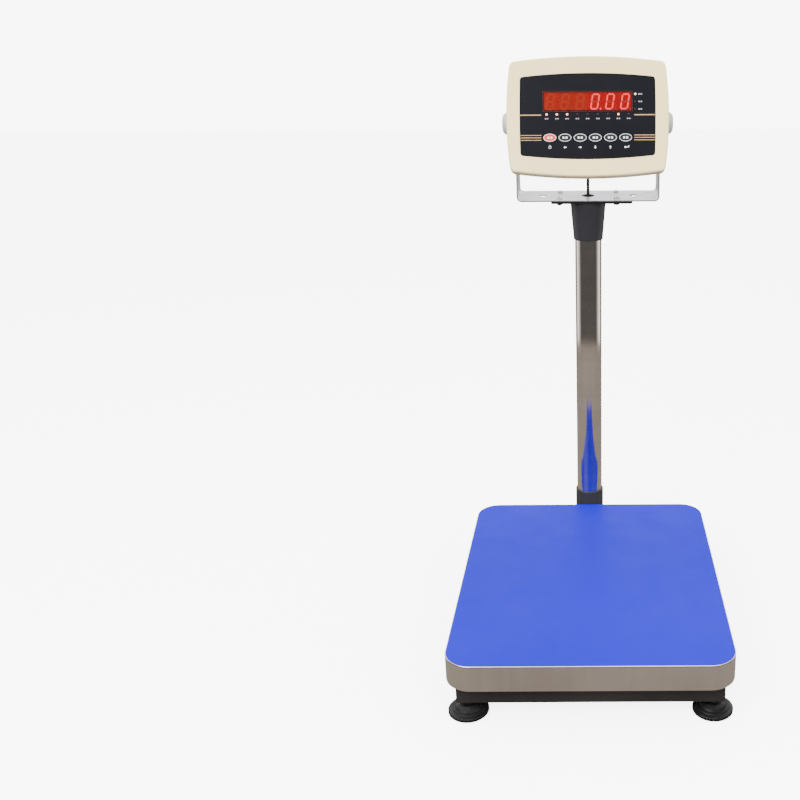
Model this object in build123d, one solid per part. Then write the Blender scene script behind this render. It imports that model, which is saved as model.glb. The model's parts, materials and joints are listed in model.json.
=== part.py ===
from build123d import *
from math import cos, pi, radians, sin
import os

# Electronic bench platform scale: levelled steel base, single-point load cell, lift-off pan,
# rear column and an indicator held in a tilting U-bracket. Millimetres, +Z up, front is -Y.
# The origin is on the floor under the middle of the whole object.

# ---- overall layout -----------------------------------------------------------------------
OVERALL_DEPTH = 572.0
PAN_WIDTH = 400.0
PAN_DEPTH = 500.0
PLATFORM_HEIGHT = 92.0
FRONT_Y = -OVERALL_DEPTH / 2
PAN_CENTRE_Y = FRONT_Y + PAN_DEPTH / 2
COLUMN_Y = FRONT_Y + 532.0

# ---- clearances shared by several parts ---------------------------------------------------
PAST = 1.0  # how far a cut runs past the surface it opens
MOVING_GAP = 0.3
BOLT_CLEARANCE = 0.3
STUD_FIT = 0.06
SLIP_FIT = 0.08
SNUG = 0.05  # how far a screw's shank stays inside its hole

# ---- pan ----------------------------------------------------------------------------------
PAN_LIP = 39.0
PAN_CORNER = 38.0
PAN_SHEET = 1.2
PAN_EDGE_RADIUS = 1.8
FILM_THICKNESS = 0.3
FILM_INSET = 1.4
PAN_TOP = PLATFORM_HEIGHT - FILM_THICKNESS
PAN_UNDERSIDE = PAN_TOP - PAN_SHEET
LIP_BOTTOM = PLATFORM_HEIGHT - PAN_LIP

# ---- base frame ---------------------------------------------------------------------------
RAIL = 30.0
RAIL_WALL = 2.0
RAIL_CORNER = 2.0
RAIL_BOTTOM = 24.0
RAIL_TOP = RAIL_BOTTOM + RAIL
RAIL_INSET = 15.0
FRAME_HALF_WIDTH = PAN_WIDTH / 2 - RAIL_INSET
FRAME_FRONT = FRONT_Y + RAIL_INSET
FRAME_REAR = FRONT_Y + PAN_DEPTH - RAIL_INSET
WELD_NUT_RADIUS = 9.0
WELD_NUT_HEIGHT = 12.0

# ---- upper frame and overload stops -------------------------------------------------------
PAD_HEIGHT = 4.0
PAD_RADIUS = 11.0
PAD_CHAMFER = 1.0
PAD_END_INSET = 45.0
UPPER_RAIL_WIDTH = 24.0
UPPER_RAIL_HEIGHT = 20.0
UPPER_RAIL_X = 165.0
UPPER_RAIL_TOP = PAN_UNDERSIDE - PAD_HEIGHT
UPPER_RAIL_BOTTOM = UPPER_RAIL_TOP - UPPER_RAIL_HEIGHT
UPPER_END_INSET = 20.0
OVERLOAD_GAP = 0.5
STOP_Y_OFFSET = 170.0
STOP_RADIUS = 4.0
STOP_FLATS = 13.0
STOP_HEAD = 5.0
STOP_REACH = 12.0

# ---- load cell ----------------------------------------------------------------------------
CELL_LENGTH = 150.0
CELL_WIDTH = 40.0
CELL_HEIGHT = 32.0
CELL_BOTTOM = 34.0
CELL_TOP = CELL_BOTTOM + CELL_HEIGHT
CELL_MID_Z = CELL_BOTTOM + CELL_HEIGHT / 2
CELL_BORE = 9.0
CELL_BORE_Y = 15.0
CELL_SLOT = 4.0
CELL_END_Y = CELL_LENGTH / 2 - 27.0
CELL_BOLT_X = 11.0
CELL_BOLT_Y = 12.0
CELL_BOLT_RADIUS = 3.0
CELL_BOLT_HOLE = 14.0
CELL_BOLT_BITE = 12.0
CELL_BOLT_HEAD_RADIUS = 5.0
CELL_BOLT_HEAD = 6.0
CELL_BOLT_SOCKET = 3.0
SPACER_THICKNESS = 3.0
SPACER_LENGTH = 40.0
PLATE_DEPTH = 60.0
LOWER_PLATE_THICKNESS = 5.0
UPPER_PLATE_THICKNESS = 8.0
LOWER_PLATE_TOP = CELL_BOTTOM - SPACER_THICKNESS
LOWER_PLATE_Z = (LOWER_PLATE_TOP - LOWER_PLATE_THICKNESS, LOWER_PLATE_TOP)
UPPER_PLATE_BOTTOM = CELL_TOP + SPACER_THICKNESS
UPPER_PLATE_Z = (UPPER_PLATE_BOTTOM, UPPER_PLATE_BOTTOM + UPPER_PLATE_THICKNESS)

# ---- levelling feet -----------------------------------------------------------------------
FOOT_RADIUS = 28.5
FOOT_EDGE = 1.5
FOOT_FLANGE = 6.0
FOOT_HEIGHT = 15.0
FOOT_RIB_COUNT = 36
FOOT_RIB_RADIUS = 1.1
STUD_RADIUS = 5.0
STUD_SEAT_RADIUS = STUD_RADIUS + 1.5
STUD_SEAT_FLOOR = 5.0
STUD_TOP = 46.0
LOCK_NUT_FLATS = 16.0
LOCK_NUT_HEIGHT = 5.0
FOOT_X = FRAME_HALF_WIDTH - RAIL / 2
FOOT_FRONT_Y = FRAME_FRONT + RAIL / 2
FOOT_REAR_Y = FRAME_REAR - RAIL / 2

# ---- column -------------------------------------------------------------------------------
TUBE_RADIUS = 22.5
TUBE_WALL = 1.5
STUB_RADIUS = TUBE_RADIUS - TUBE_WALL - STUD_FIT
STUB_WALL = 3.0
SOCKET_RADIUS = 25.0
SOCKET_EDGE = 1.5
SOCKET_TOP = PLATFORM_HEIGHT + 20.0
SOCKET_COLLAR = (SOCKET_RADIUS + 5.0, 4.0)
COLUMN_PLATE_HALF = 60.0
COLUMN_PLATE_THICKNESS = 6.0
COLUMN_PLATE_CORNER = 12.0
COLUMN_PLATE_TOP = RAIL_BOTTOM + COLUMN_PLATE_THICKNESS
COLUMN_FACE_THICKNESS = 5.0
GUSSET_X = 36.0
GUSSET_LENGTH = 62.0
GUSSET_THICKNESS = 4.0
GUSSET_SHOULDER = 8.0
GUSSET_LIP_GAP = 5.0
BRACKET_BOLT_X = 50.0
BRACKET_BOLT_Z = 39.0
BRACKET_BOLT_RADIUS = 4.0
BRACKET_BOLT_FLATS = 13.0
BRACKET_BOLT_HEAD = 5.0
CABLE_ENTRY_Z = 42.0
CABLE_ENTRY_RADIUS = 5.0
CABLE_RADIUS = 2.5
CLAMP_SCREW_Z = (CABLE_ENTRY_Z + 20.0, CABLE_ENTRY_Z + 48.0)
CLAMP_SCREW_RADIUS = 3.0
CLAMP_HEAD_RADIUS = 5.0
CLAMP_HEAD = 4.0
LEVEL_PLACE = (49.0, COLUMN_Y + 12.0)
LEVEL_CUP = (8.0, 7.0)
LEVEL_FLANGE = (9.5, 2.0)

# ---- head ---------------------------------------------------------------------------------
HEAD_INCLINE = 6.0
HEAD_PLATE_WIDTH = 134.0
HEAD_PLATE_DEPTH = 60.0
HEAD_PLATE_THICKNESS = 5.0
HEAD_PLATE_CORNER = 4.0
HEAD_PLATE_OFFSET = 6.0
BRACKET_SHEET = 2.0
BRACKET_TOP_Z = PLATFORM_HEIGHT + 551.8
CAP_TOP_Z = BRACKET_TOP_Z - BRACKET_SHEET - HEAD_PLATE_THICKNESS
CAP_BOTTOM_Z = PLATFORM_HEIGHT + 479.0
CAP_TOP_RADIUS = 30.0
CAP_BOTTOM_RADIUS = 24.5
CAP_EDGE = 1.2
TUBE_TOP = CAP_BOTTOM_Z + 56.0
HEAD_STUB_BOTTOM = CAP_BOTTOM_Z + 4.0
GRUB_SCREW_Z = (CAP_BOTTOM_Z + 15.0, CAP_BOTTOM_Z + 38.0)
GRUB_RADIUS = 2.5
GRUB_LENGTH = 2.9
GRUB_SOCKET = (1.2, 1.2)
BRACKET_HALF_WIDTH = 116.5
BRACKET_DEPTH = 72.0
BRACKET_BEND = 8.0
ARM_REACH = 116.8
ARM_TOP_RADIUS = 17.0
ARM_SHOULDER = 12.0
BRACKET_HOLE_X = 47.0
BRACKET_HOLE_Y = 22.0
BRACKET_HOLE_RADIUS = 2.75
BRACKET_SCREW_RADIUS = 2.45
BRACKET_SCREW_HEAD = (4.75, 3.0)
BRACKET_SCREW_EDGE = 1.2
BRACKET_SCREW_SLOT = (7.0, 1.1, 2.4)
BRACKET_NUT_FLATS = 8.0
BRACKET_NUT_HEIGHT = 2.7
BRACKET_SCREW_END = 0.8
WALL_HOLE_X = 75.0
WALL_HOLE_RADIUS = 6.5
CABLE_HOLE_RADIUS = 11.0

# ---- indicator case -----------------------------------------------------------------------
INDICATOR_TILT = 16.2
FACE_Y = -44.0
FACE_Z = 1.2
BEZEL_HALF_WIDTH = 128.0
BEZEL_HALF_HEIGHT = 93.5
BEZEL_SIDE_BULGE = 6.0
BEZEL_TOP_BULGE = 8.5
BEZEL_CORNERS = (9.0, 10.0)
BEZEL_FRONT_EDGE = 3.5
BEZEL_DEPTH = 22.0
BEZEL_WALL = 2.5
SPLIT_Y = FACE_Y + BEZEL_DEPTH
FLANGE_INSET = 0.4
PANEL_HALF_WIDTH = 107.0
PANEL_HALF_HEIGHT = 66.8
PANEL_TOP_BULGE = 6.0
PANEL_SIDE_BULGE = 1.0
PANEL_CORNER = 5.0
PANEL_RECESS = 1.2
PANEL_PLAY = 0.2
OVERLAY_THICKNESS = 0.5
RECESS_FLOOR = FACE_Y + PANEL_RECESS
OVERLAY_FRONT = RECESS_FLOOR - OVERLAY_THICKNESS
WALL_BACK = RECESS_FLOOR + BEZEL_WALL
TRAY_HALF_WIDTH = 113.0
TRAY_HALF_HEIGHT = 70.0
TRAY_BACK_Y = 24.0
TRAY_SIDE_CORNER = 6.0
TRAY_BACK_EDGE = 4.0
CASE_SCREW_X = 100.0
CASE_SCREW_Z = 79.0
CASE_BOSS_RADIUS = 4.5
CASE_SCREW_RADIUS = 1.5
CASE_SCREW_REACH = 12.0
CASE_SCREW_HEAD = (3.3, 2.4)
CASE_SCREW_CROSS = (4.0, 0.8)
PIVOT_BOSS_RADIUS = 9.0
PIVOT_BOSS_LENGTH = 16.0
INSERT_RADIUS = 6.0
INSERT_PROUD = 0.2
VENT_COUNT = 6
VENT_PITCH = 7.0
VENT_SIZE = (60.0, 2.6)
VENT_Z = 30.0
GLAND_Y = 14.0
GLAND_DROP = 80.0
GLAND_THREAD = 5.9
GLAND_HOLE = 6.0
GLAND_NUT_FLATS = (15.0, 14.0)
GLAND_NUT_HEIGHT = 5.0
GLAND_DOME = (6.8, 2.0)

# ---- display, keys and boards -------------------------------------------------------------
WINDOW_WIDTH = 141.5
WINDOW_HEIGHT = 31.6
WINDOW_Z = 23.4
WINDOW_STEP = 2.0
DIGIT_COUNT = 6
DIGIT_PITCH = 23.5
DIGIT_GAP = 0.6
DIGIT_BLOCK = (30.0, 7.0)
KEY_COUNT = 6
KEY_PITCH = 23.8
KEY_WIDTH = 20.6
KEY_HEIGHT = 12.8
KEY_Z = -33.0
KEY_GAP = 0.35
KEY_TRAVEL = 0.5
KEY_PROUD = 0.6
KEY_THICKNESS = 2.4
KEY_EDGE = 0.4
ROW_LED_COUNT = 9
ROW_LED_PITCH = 16.1
ROW_LED_Z = 3.1
SIDE_LED_COUNT = 3
SIDE_LED_X = 74.8
SIDE_LED_Z = WINDOW_Z - 1.0
SIDE_LED_PITCH = 11.6
LED_RADIUS = 1.5
LED_FIT = 0.1
BOARD_THICKNESS = 1.6
BOARD_FRONT = WALL_BACK + DIGIT_BLOCK[1] + LED_FIT
DISPLAY_BOARD = (4.0, -2.0, 168.0, 100.0)
SWITCH_BODY = 6.0
SWITCH_PLUNGER = 1.7
MAIN_BOARD = (-45.0, 5.0, 120.0, 110.0)
MAIN_BOARD_STANDOFF = 7.4
POWER_MODULE = (-70.0, 25.0, 36.0, 30.0, 9.0)
PROCESSOR = (-30.0, -5.0, 14.0, 14.0, 2.0)
BATTERY = (60.0, 10.0, 70.0, 76.0, 19.4)

# ---- tilt knobs ---------------------------------------------------------------------------
KNOB_RADIUS = 17.5
KNOB_OUTER_X = 137.5
KNOB_DOME = 9.0
KNOB_FLUTES = 14
KNOB_FLUTE = (1.4, 2.4, 4.0, 10.0)
KNOB_STUD_RADIUS = 4.0
KNOB_STUD_BITE = 12.0
WASHER_RADIUS = 11.0
WASHER_THICKNESS = 1.5
WASHER_INNER_X = BRACKET_HALF_WIDTH + MOVING_GAP
KNOB_INNER_X = WASHER_INNER_X + WASHER_THICKNESS + MOVING_GAP

# ---- cables -------------------------------------------------------------------------------
CABLE_JOIN_Z = CAP_BOTTOM_Z - 10.0
CABLE_SWEEP = 200.0
CABLE_TURN = 25.0
CABLE_LEAD = 17.0

# ---- inclined frames ----------------------------------------------------------------------
HEAD = Pos(0, COLUMN_Y, CAP_TOP_Z) * Rot(HEAD_INCLINE, 0, 0)
HEAD_NORMAL = Axis((0, COLUMN_Y, CAP_TOP_Z), (0, -sin(radians(HEAD_INCLINE)), cos(radians(HEAD_INCLINE))))
PIVOT_HEIGHT = HEAD_PLATE_THICKNESS + BRACKET_SHEET + ARM_REACH
PIVOT = HEAD * Pos(0, 0, PIVOT_HEIGHT)
INDICATOR = Pos(*PIVOT.position) * Rot(-INDICATOR_TILT, 0, 0)


# ---- helpers ------------------------------------------------------------------------------
def block(x, y, z):
    """Box between the two ends given for each axis."""
    size = [high - low for low, high in (x, y, z)]
    centre = [(low + high) / 2 for low, high in (x, y, z)]
    return Pos(*centre) * Box(*size)


def rod(radius, start, end):
    """Round bar from one point to another."""
    start, end = Vector(*start), Vector(*end)
    return Solid.make_cylinder(radius, (end - start).length, Plane(origin=start, z_dir=end - start))


def pipe(outer, inner, start, end):
    """Round bar with a through bore."""
    return rod(outer, start, end) - rod(inner, start, end)


def upright(radius, x, y, z):
    """Vertical round bar between two heights."""
    return rod(radius, (x, y, z[0]), (x, y, z[1]))


def hexagon(flats, x, y, z):
    """Vertical hexagonal bar between two heights."""
    return Pos(x, y, z[0]) * extrude(RegularPolygon(flats / 2, 6, major_radius=False), z[1] - z[0])


def slab(sketch, front, back):
    """Sketch drawn in X and Z, thickened from the front Y to the back Y."""
    return extrude(Plane.XZ.offset(-back) * sketch, back - front)


def barrel(half_width, half_height, side_bulge, top_bulge, corners):
    """Rounded rectangle whose sides bow outwards, with its own radius for lower and upper corners."""
    x, z = half_width - side_bulge, half_height - top_bulge
    sides = [
        ThreePointArc((-x, z), (0, half_height), (x, z)),
        ThreePointArc((x, z), (half_width, 0), (x, -z)),
        ThreePointArc((x, -z), (0, -half_height), (-x, -z)),
        ThreePointArc((-x, -z), (-half_width, 0), (-x, z)),
    ]
    shape = fillet(make_face(sides).vertices().sort_by(Axis.Y)[:2], corners[0])
    return fillet(shape.vertices().sort_by(Axis.Y)[-2:], corners[1])


def spread(count, pitch):
    """Evenly pitched places about zero."""
    return [(i - (count - 1) / 2) * pitch for i in range(count)]


def both(*values):
    """Each value with its mirror image."""
    return [sign * value for value in values for sign in (-1, 1)]


# ---- pan and its protective film ----------------------------------------------------------
def pan():
    def tray(shrink, z, edge):
        outline = RectangleRounded(PAN_WIDTH - 2 * shrink, PAN_DEPTH - 2 * shrink, PAN_CORNER - shrink)
        body = Pos(0, PAN_CENTRE_Y, z[0]) * extrude(outline, z[1] - z[0])
        return fillet(body.faces().sort_by(Axis.Z)[-1].edges(), edge)

    outside = tray(0, (LIP_BOTTOM, PAN_TOP), PAN_EDGE_RADIUS)
    inside = tray(PAN_SHEET, (LIP_BOTTOM - PAST, PAN_UNDERSIDE), PAN_EDGE_RADIUS - PAN_SHEET)
    return outside - inside


def pan_film():
    outline = RectangleRounded(
        PAN_WIDTH - 2 * FILM_INSET, PAN_DEPTH - 2 * FILM_INSET, PAN_CORNER - FILM_INSET
    )
    return Pos(0, PAN_CENTRE_Y, PAN_TOP) * extrude(outline, FILM_THICKNESS)


# ---- base frame ---------------------------------------------------------------------------
def box_section(x, y, z, wall, open_axis=None):
    """Rectangular hollow section. Its ends are open along open_axis and closed otherwise."""
    inner = [
        (low, high) if axis == open_axis else (low + wall, high - wall)
        for axis, (low, high) in zip("xyz", (x, y, z))
    ]
    return block(x, y, z) - block(*inner)


def cross_rail(y):
    """Front or rear rail, closed at its ends, with a threaded hole for a foot at each end."""
    x = (-FRAME_HALF_WIDTH, FRAME_HALF_WIDTH)
    rail = box_section(x, (y - RAIL / 2, y + RAIL / 2), (RAIL_BOTTOM, RAIL_TOP), RAIL_WALL)
    rail = fillet(rail.faces().filter_by(Axis.X).sort_by(Axis.X)[0].edges(), RAIL_CORNER)
    rail = fillet(rail.faces().filter_by(Axis.X).sort_by(Axis.X)[-1].edges(), RAIL_CORNER)
    nut_top = RAIL_BOTTOM + WELD_NUT_HEIGHT
    for x in both(FOOT_X):
        rail += upright(WELD_NUT_RADIUS, x, y, (RAIL_BOTTOM + RAIL_WALL / 2, nut_top))
        rail -= upright(STUD_RADIUS + STUD_FIT, x, y, (RAIL_BOTTOM - PAST, nut_top + PAST))
    return rail


def bracket_bolt_holes(body, y):
    for x in both(BRACKET_BOLT_X):
        ends = [(x, end, BRACKET_BOLT_Z) for end in y]
        body -= rod(BRACKET_BOLT_RADIUS + BOLT_CLEARANCE, *ends)
    return body


def rear_rail():
    """Rear rail, with holes for the signal cable and for the column bracket's bolts."""
    rail = cross_rail(FOOT_REAR_Y)
    front, back = FOOT_REAR_Y - RAIL, FOOT_REAR_Y + RAIL
    rail -= rod(CABLE_ENTRY_RADIUS, (0, front, CABLE_ENTRY_Z), (0, back, CABLE_ENTRY_Z))
    return bracket_bolt_holes(rail, (FOOT_REAR_Y, back))


def side_rail(side):
    x = sorted((side * FRAME_HALF_WIDTH, side * (FRAME_HALF_WIDTH - RAIL)))
    rail = box_section(x, (FRAME_FRONT + RAIL, FRAME_REAR - RAIL), (RAIL_BOTTOM, RAIL_TOP), RAIL_WALL, "y")
    for y in both(STOP_Y_OFFSET):
        through = (RAIL_TOP - RAIL_WALL - PAST, RAIL_TOP + PAST)
        rail -= upright(STOP_RADIUS, side * FOOT_X, PAN_CENTRE_Y + y, through)
    return rail


def overload_stops():
    """Four screws standing on the side rails just under the upper frame."""
    top = UPPER_RAIL_BOTTOM - OVERLOAD_GAP
    nut_z = (RAIL_TOP, RAIL_TOP + STOP_HEAD)
    stops = []
    for x in both(FOOT_X):
        for y in both(STOP_Y_OFFSET):
            place = PAN_CENTRE_Y + y
            shank = upright(STOP_RADIUS - SNUG, x, place, (RAIL_TOP - STOP_REACH, top - STOP_HEAD))
            head = hexagon(STOP_FLATS, x, place, (top - STOP_HEAD, top))
            stops.append(shank + head + hexagon(STOP_FLATS, x, place, nut_z))
    return stops


# ---- load cell and the plates it joins ----------------------------------------------------
def cell_bolt_places(end):
    """Bolt positions at the fixed rear end (1) or the loaded front end (-1) of the cell."""
    centre = PAN_CENTRE_Y + end * CELL_END_Y
    return [(x, centre + y) for x in both(CELL_BOLT_X) for y in both(CELL_BOLT_Y)]


def bore_bolts(body, end, z):
    for x, y in cell_bolt_places(end):
        body -= upright(CELL_BOLT_RADIUS + BOLT_CLEARANCE, x, y, z)
    return body


def load_cell():
    """Alloy block thinned by two cross bores joined by a slot."""
    y = (PAN_CENTRE_Y - CELL_LENGTH / 2, PAN_CENTRE_Y + CELL_LENGTH / 2)
    cell = block((-CELL_WIDTH / 2, CELL_WIDTH / 2), y, (CELL_BOTTOM, CELL_TOP))
    cell = chamfer(cell.edges().filter_by(Axis.Y), 1)
    bores = [PAN_CENTRE_Y + offset for offset in both(CELL_BORE_Y)]
    for y in bores:
        cell -= rod(CELL_BORE, (-CELL_WIDTH, y, CELL_MID_Z), (CELL_WIDTH, y, CELL_MID_Z))
    cell -= block((-CELL_WIDTH, CELL_WIDTH), bores, (CELL_MID_Z - CELL_SLOT, CELL_MID_Z + CELL_SLOT))
    cell = bore_bolts(cell, 1, (CELL_BOTTOM - PAST, CELL_BOTTOM + CELL_BOLT_HOLE))
    return bore_bolts(cell, -1, (CELL_TOP - CELL_BOLT_HOLE, CELL_TOP + PAST))


def cell_spacers():
    spacers = []
    for end, low in ((1, LOWER_PLATE_TOP), (-1, CELL_TOP)):
        y = PAN_CENTRE_Y + end * CELL_END_Y
        z = (low, low + SPACER_THICKNESS)
        spacer = block((-CELL_WIDTH / 2, CELL_WIDTH / 2), (y - SPACER_LENGTH / 2, y + SPACER_LENGTH / 2), z)
        spacers.append(bore_bolts(spacer, end, (z[0] - PAST, z[1] + PAST)))
    return spacers


def cell_plate(end, half_width, z):
    y = PAN_CENTRE_Y + end * CELL_END_Y
    plate = block((-half_width, half_width), (y - PLATE_DEPTH / 2, y + PLATE_DEPTH / 2), z)
    return bore_bolts(plate, end, (z[0] - PAST, z[1] + PAST))


def cell_bolts():
    """Socket-head screws up into the fixed end and down into the loaded end."""
    ends = (
        (1, LOWER_PLATE_Z[0], CELL_BOTTOM + CELL_BOLT_BITE),
        (-1, UPPER_PLATE_Z[1], CELL_TOP - CELL_BOLT_BITE),
    )
    bolts = []
    for end, seat, tip in ends:
        outer = seat - CELL_BOLT_HEAD * end
        bottom = outer + CELL_BOLT_SOCKET * end
        for x, y in cell_bolt_places(end):
            head = rod(CELL_BOLT_HEAD_RADIUS, (x, y, outer), (x, y, seat))
            head -= hexagon(CELL_BOLT_HEAD_RADIUS, x, y, sorted((outer, bottom)))
            bolts.append(head + rod(CELL_BOLT_RADIUS, (x, y, bottom + end), (x, y, tip)))
    return bolts


# ---- upper frame that carries the pan -----------------------------------------------------
def upper_rail(side):
    x = sorted((side * (UPPER_RAIL_X - UPPER_RAIL_WIDTH / 2), side * (UPPER_RAIL_X + UPPER_RAIL_WIDTH / 2)))
    y = (FRONT_Y + UPPER_END_INSET, FRONT_Y + PAN_DEPTH - UPPER_END_INSET)
    return box_section(x, y, (UPPER_RAIL_BOTTOM, UPPER_RAIL_TOP), RAIL_WALL, "y")


def pan_pads():
    pads = []
    for x in both(UPPER_RAIL_X):
        for y in both(PAN_DEPTH / 2 - PAD_END_INSET):
            pad = upright(PAD_RADIUS, x, PAN_CENTRE_Y + y, (UPPER_RAIL_TOP, PAN_UNDERSIDE))
            pads.append(chamfer(pad.edges().sort_by(Axis.Z)[-1], PAD_CHAMFER))
    return pads


# ---- levelling feet -----------------------------------------------------------------------
def foot_pad(x, y):
    """Rubber-faced foot: thin ribbed flange, stepped dome and a socket for the stud's ball."""
    outer, flange = FOOT_RADIUS, FOOT_FLANGE
    profile = Polyline(
        (0, 0), (outer - FOOT_EDGE, 0), (outer, FOOT_EDGE), (outer, flange - 1), (outer - 1, flange),
        (outer - 5.5, flange + 1), (outer - 6.5, flange + 2.5), (outer - 9.5, flange + 3),
        (outer - 11.5, flange + 6), (outer - 16.5, FOOT_HEIGHT), (0, FOOT_HEIGHT), (0, 0),
    )
    pad = revolve(Plane.XZ * make_face(profile), Axis.Z)
    for i in range(FOOT_RIB_COUNT):
        turn = Rot(0, 0, 360 * i / FOOT_RIB_COUNT)
        pad -= turn * Pos(FOOT_RADIUS + 0.4, 0, FOOT_FLANGE / 2) * Cylinder(FOOT_RIB_RADIUS, 2 * FOOT_FLANGE)
    pad -= upright(STUD_SEAT_RADIUS + STUD_FIT, 0, 0, (STUD_SEAT_FLOOR, FOOT_HEIGHT + PAST))
    return Pos(x, y, 0) * pad


def foot_stud(x, y):
    """Threaded stud with a turned seat that swivels in the pad."""
    seat = upright(STUD_SEAT_RADIUS, x, y, (STUD_SEAT_FLOOR + MOVING_GAP, FOOT_HEIGHT + 0.5))
    shank = upright(STUD_RADIUS, x, y, (FOOT_HEIGHT, STUD_TOP))
    return seat + chamfer(shank.edges().sort_by(Axis.Z)[-1], 1)


def lock_nuts():
    nuts = []
    for x in both(FOOT_X):
        for y in (FOOT_FRONT_Y, FOOT_REAR_Y):
            nut = hexagon(LOCK_NUT_FLATS, x, y, (RAIL_BOTTOM - LOCK_NUT_HEIGHT, RAIL_BOTTOM))
            bore = (RAIL_BOTTOM - LOCK_NUT_HEIGHT - PAST, RAIL_BOTTOM + PAST)
            nuts.append(nut - upright(STUD_RADIUS + STUD_FIT, x, y, bore))
    return nuts


# ---- column -------------------------------------------------------------------------------
def cable_slot(body):
    """Hole at the foot of the column where the signal cable comes in from the front."""
    z = CABLE_ENTRY_Z + 0.5
    return body - rod(CABLE_ENTRY_RADIUS, (0, COLUMN_Y - 2 * TUBE_RADIUS, z), (0, COLUMN_Y, z))


def clamp_holes(body, radius):
    for z in CLAMP_SCREW_Z:
        body -= rod(radius, (0, COLUMN_Y + STUD_RADIUS, z), (0, COLUMN_Y + 2 * TUBE_RADIUS, z))
    return body


def column_bracket():
    """Welded foot of the column: face plate on the rear rail, floor plate, gussets and a stub."""
    half = COLUMN_PLATE_HALF
    face_back = FRAME_REAR + COLUMN_FACE_THICKNESS
    face = block((-half, half), (FRAME_REAR, face_back), (RAIL_BOTTOM, RAIL_TOP))
    floor = block((-half, half), (FRAME_REAR, -FRONT_Y), (RAIL_BOTTOM, COLUMN_PLATE_TOP))
    bracket = face + fillet(floor.edges().filter_by(Axis.Z).sort_by(Axis.Y)[-2:], COLUMN_PLATE_CORNER)
    rise = LIP_BOTTOM - COLUMN_PLATE_TOP - GUSSET_LIP_GAP
    tip = GUSSET_THICKNESS
    slope = ((GUSSET_LENGTH, 0), (GUSSET_LENGTH, tip), (GUSSET_SHOULDER, rise), (0, rise))
    gusset = Polyline((0, 0), *slope, (0, 0))
    for x in both(GUSSET_X):
        plate = extrude(Plane.YZ.offset(x - GUSSET_THICKNESS / 2) * make_face(gusset), GUSSET_THICKNESS)
        bracket += Pos(0, face_back, COLUMN_PLATE_TOP) * plate
    bracket += upright(STUB_RADIUS, 0, COLUMN_Y, (COLUMN_PLATE_TOP - PAST, SOCKET_TOP - 8))
    bracket -= upright(STUB_RADIUS - STUB_WALL, 0, COLUMN_Y, (COLUMN_PLATE_TOP, SOCKET_TOP))
    through = (FRAME_REAR - PAST, face_back + PAST)
    bracket = bracket_bolt_holes(bracket, through)
    bracket -= rod(CABLE_ENTRY_RADIUS, (0, through[0], CABLE_ENTRY_Z), (0, through[1], CABLE_ENTRY_Z))
    return clamp_holes(cable_slot(bracket), CLAMP_SCREW_RADIUS)


def column_bolts():
    """Hexagon bolts that hold the column bracket to the rear rail."""
    seat = FRAME_REAR + COLUMN_FACE_THICKNESS
    bolts = []
    for x in both(BRACKET_BOLT_X):
        flats = Pos(x, BRACKET_BOLT_Z) * RegularPolygon(BRACKET_BOLT_FLATS / 2, 6, major_radius=False)
        shank = rod(BRACKET_BOLT_RADIUS, (x, seat, BRACKET_BOLT_Z), (x, FOOT_REAR_Y, BRACKET_BOLT_Z))
        bolts.append(slab(flats, seat, seat + BRACKET_BOLT_HEAD) + shank)
    return bolts


def column_socket():
    """Plastic sleeve round the foot of the column."""
    sleeve = upright(SOCKET_RADIUS, 0, COLUMN_Y, (COLUMN_PLATE_TOP, SOCKET_TOP))
    sleeve = fillet(sleeve.edges().sort_by(Axis.Z)[-1], SOCKET_EDGE)
    collar_radius, collar_height = SOCKET_COLLAR
    sleeve += upright(collar_radius, 0, COLUMN_Y, (COLUMN_PLATE_TOP, COLUMN_PLATE_TOP + collar_height))
    sleeve -= upright(TUBE_RADIUS + 0.02, 0, COLUMN_Y, (COLUMN_PLATE_TOP - PAST, SOCKET_TOP + PAST))
    return clamp_holes(cable_slot(sleeve), CLAMP_SCREW_RADIUS)


def column_tube():
    ends = (0, COLUMN_Y, COLUMN_PLATE_TOP), (0, COLUMN_Y, TUBE_TOP)
    tube = pipe(TUBE_RADIUS, TUBE_RADIUS - TUBE_WALL, *ends)
    return clamp_holes(cable_slot(tube), CLAMP_SCREW_RADIUS)


def clamp_screws():
    """Button-head screws through the socket and the tube into the stub."""
    seat = COLUMN_Y + SOCKET_RADIUS
    screws = []
    for z in CLAMP_SCREW_Z:
        head = rod(CLAMP_HEAD_RADIUS, (0, seat, z), (0, seat + CLAMP_HEAD, z))
        head = fillet(head.edges().sort_by(Axis.Y)[-1], 1.5)
        shank = rod(CLAMP_SCREW_RADIUS - SNUG, (0, seat + PAST, z), (0, COLUMN_Y + 14, z))
        screws.append(head + shank)
    return screws


def bubble_level():
    """Round spirit level beside the column: a flanged cup for the vial."""
    cup, flange = (
        upright(radius, *LEVEL_PLACE, (COLUMN_PLATE_TOP, COLUMN_PLATE_TOP + height))
        for radius, height in (LEVEL_CUP, LEVEL_FLANGE)
    )
    return cup + flange


# ---- head: cap, plate and tilting bracket -------------------------------------------------
def above_head_plane(z):
    """Everything above a plane parallel to the inclined head plate."""
    return HEAD * Pos(0, 0, z + 100) * Box(400, 400, 200)


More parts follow.
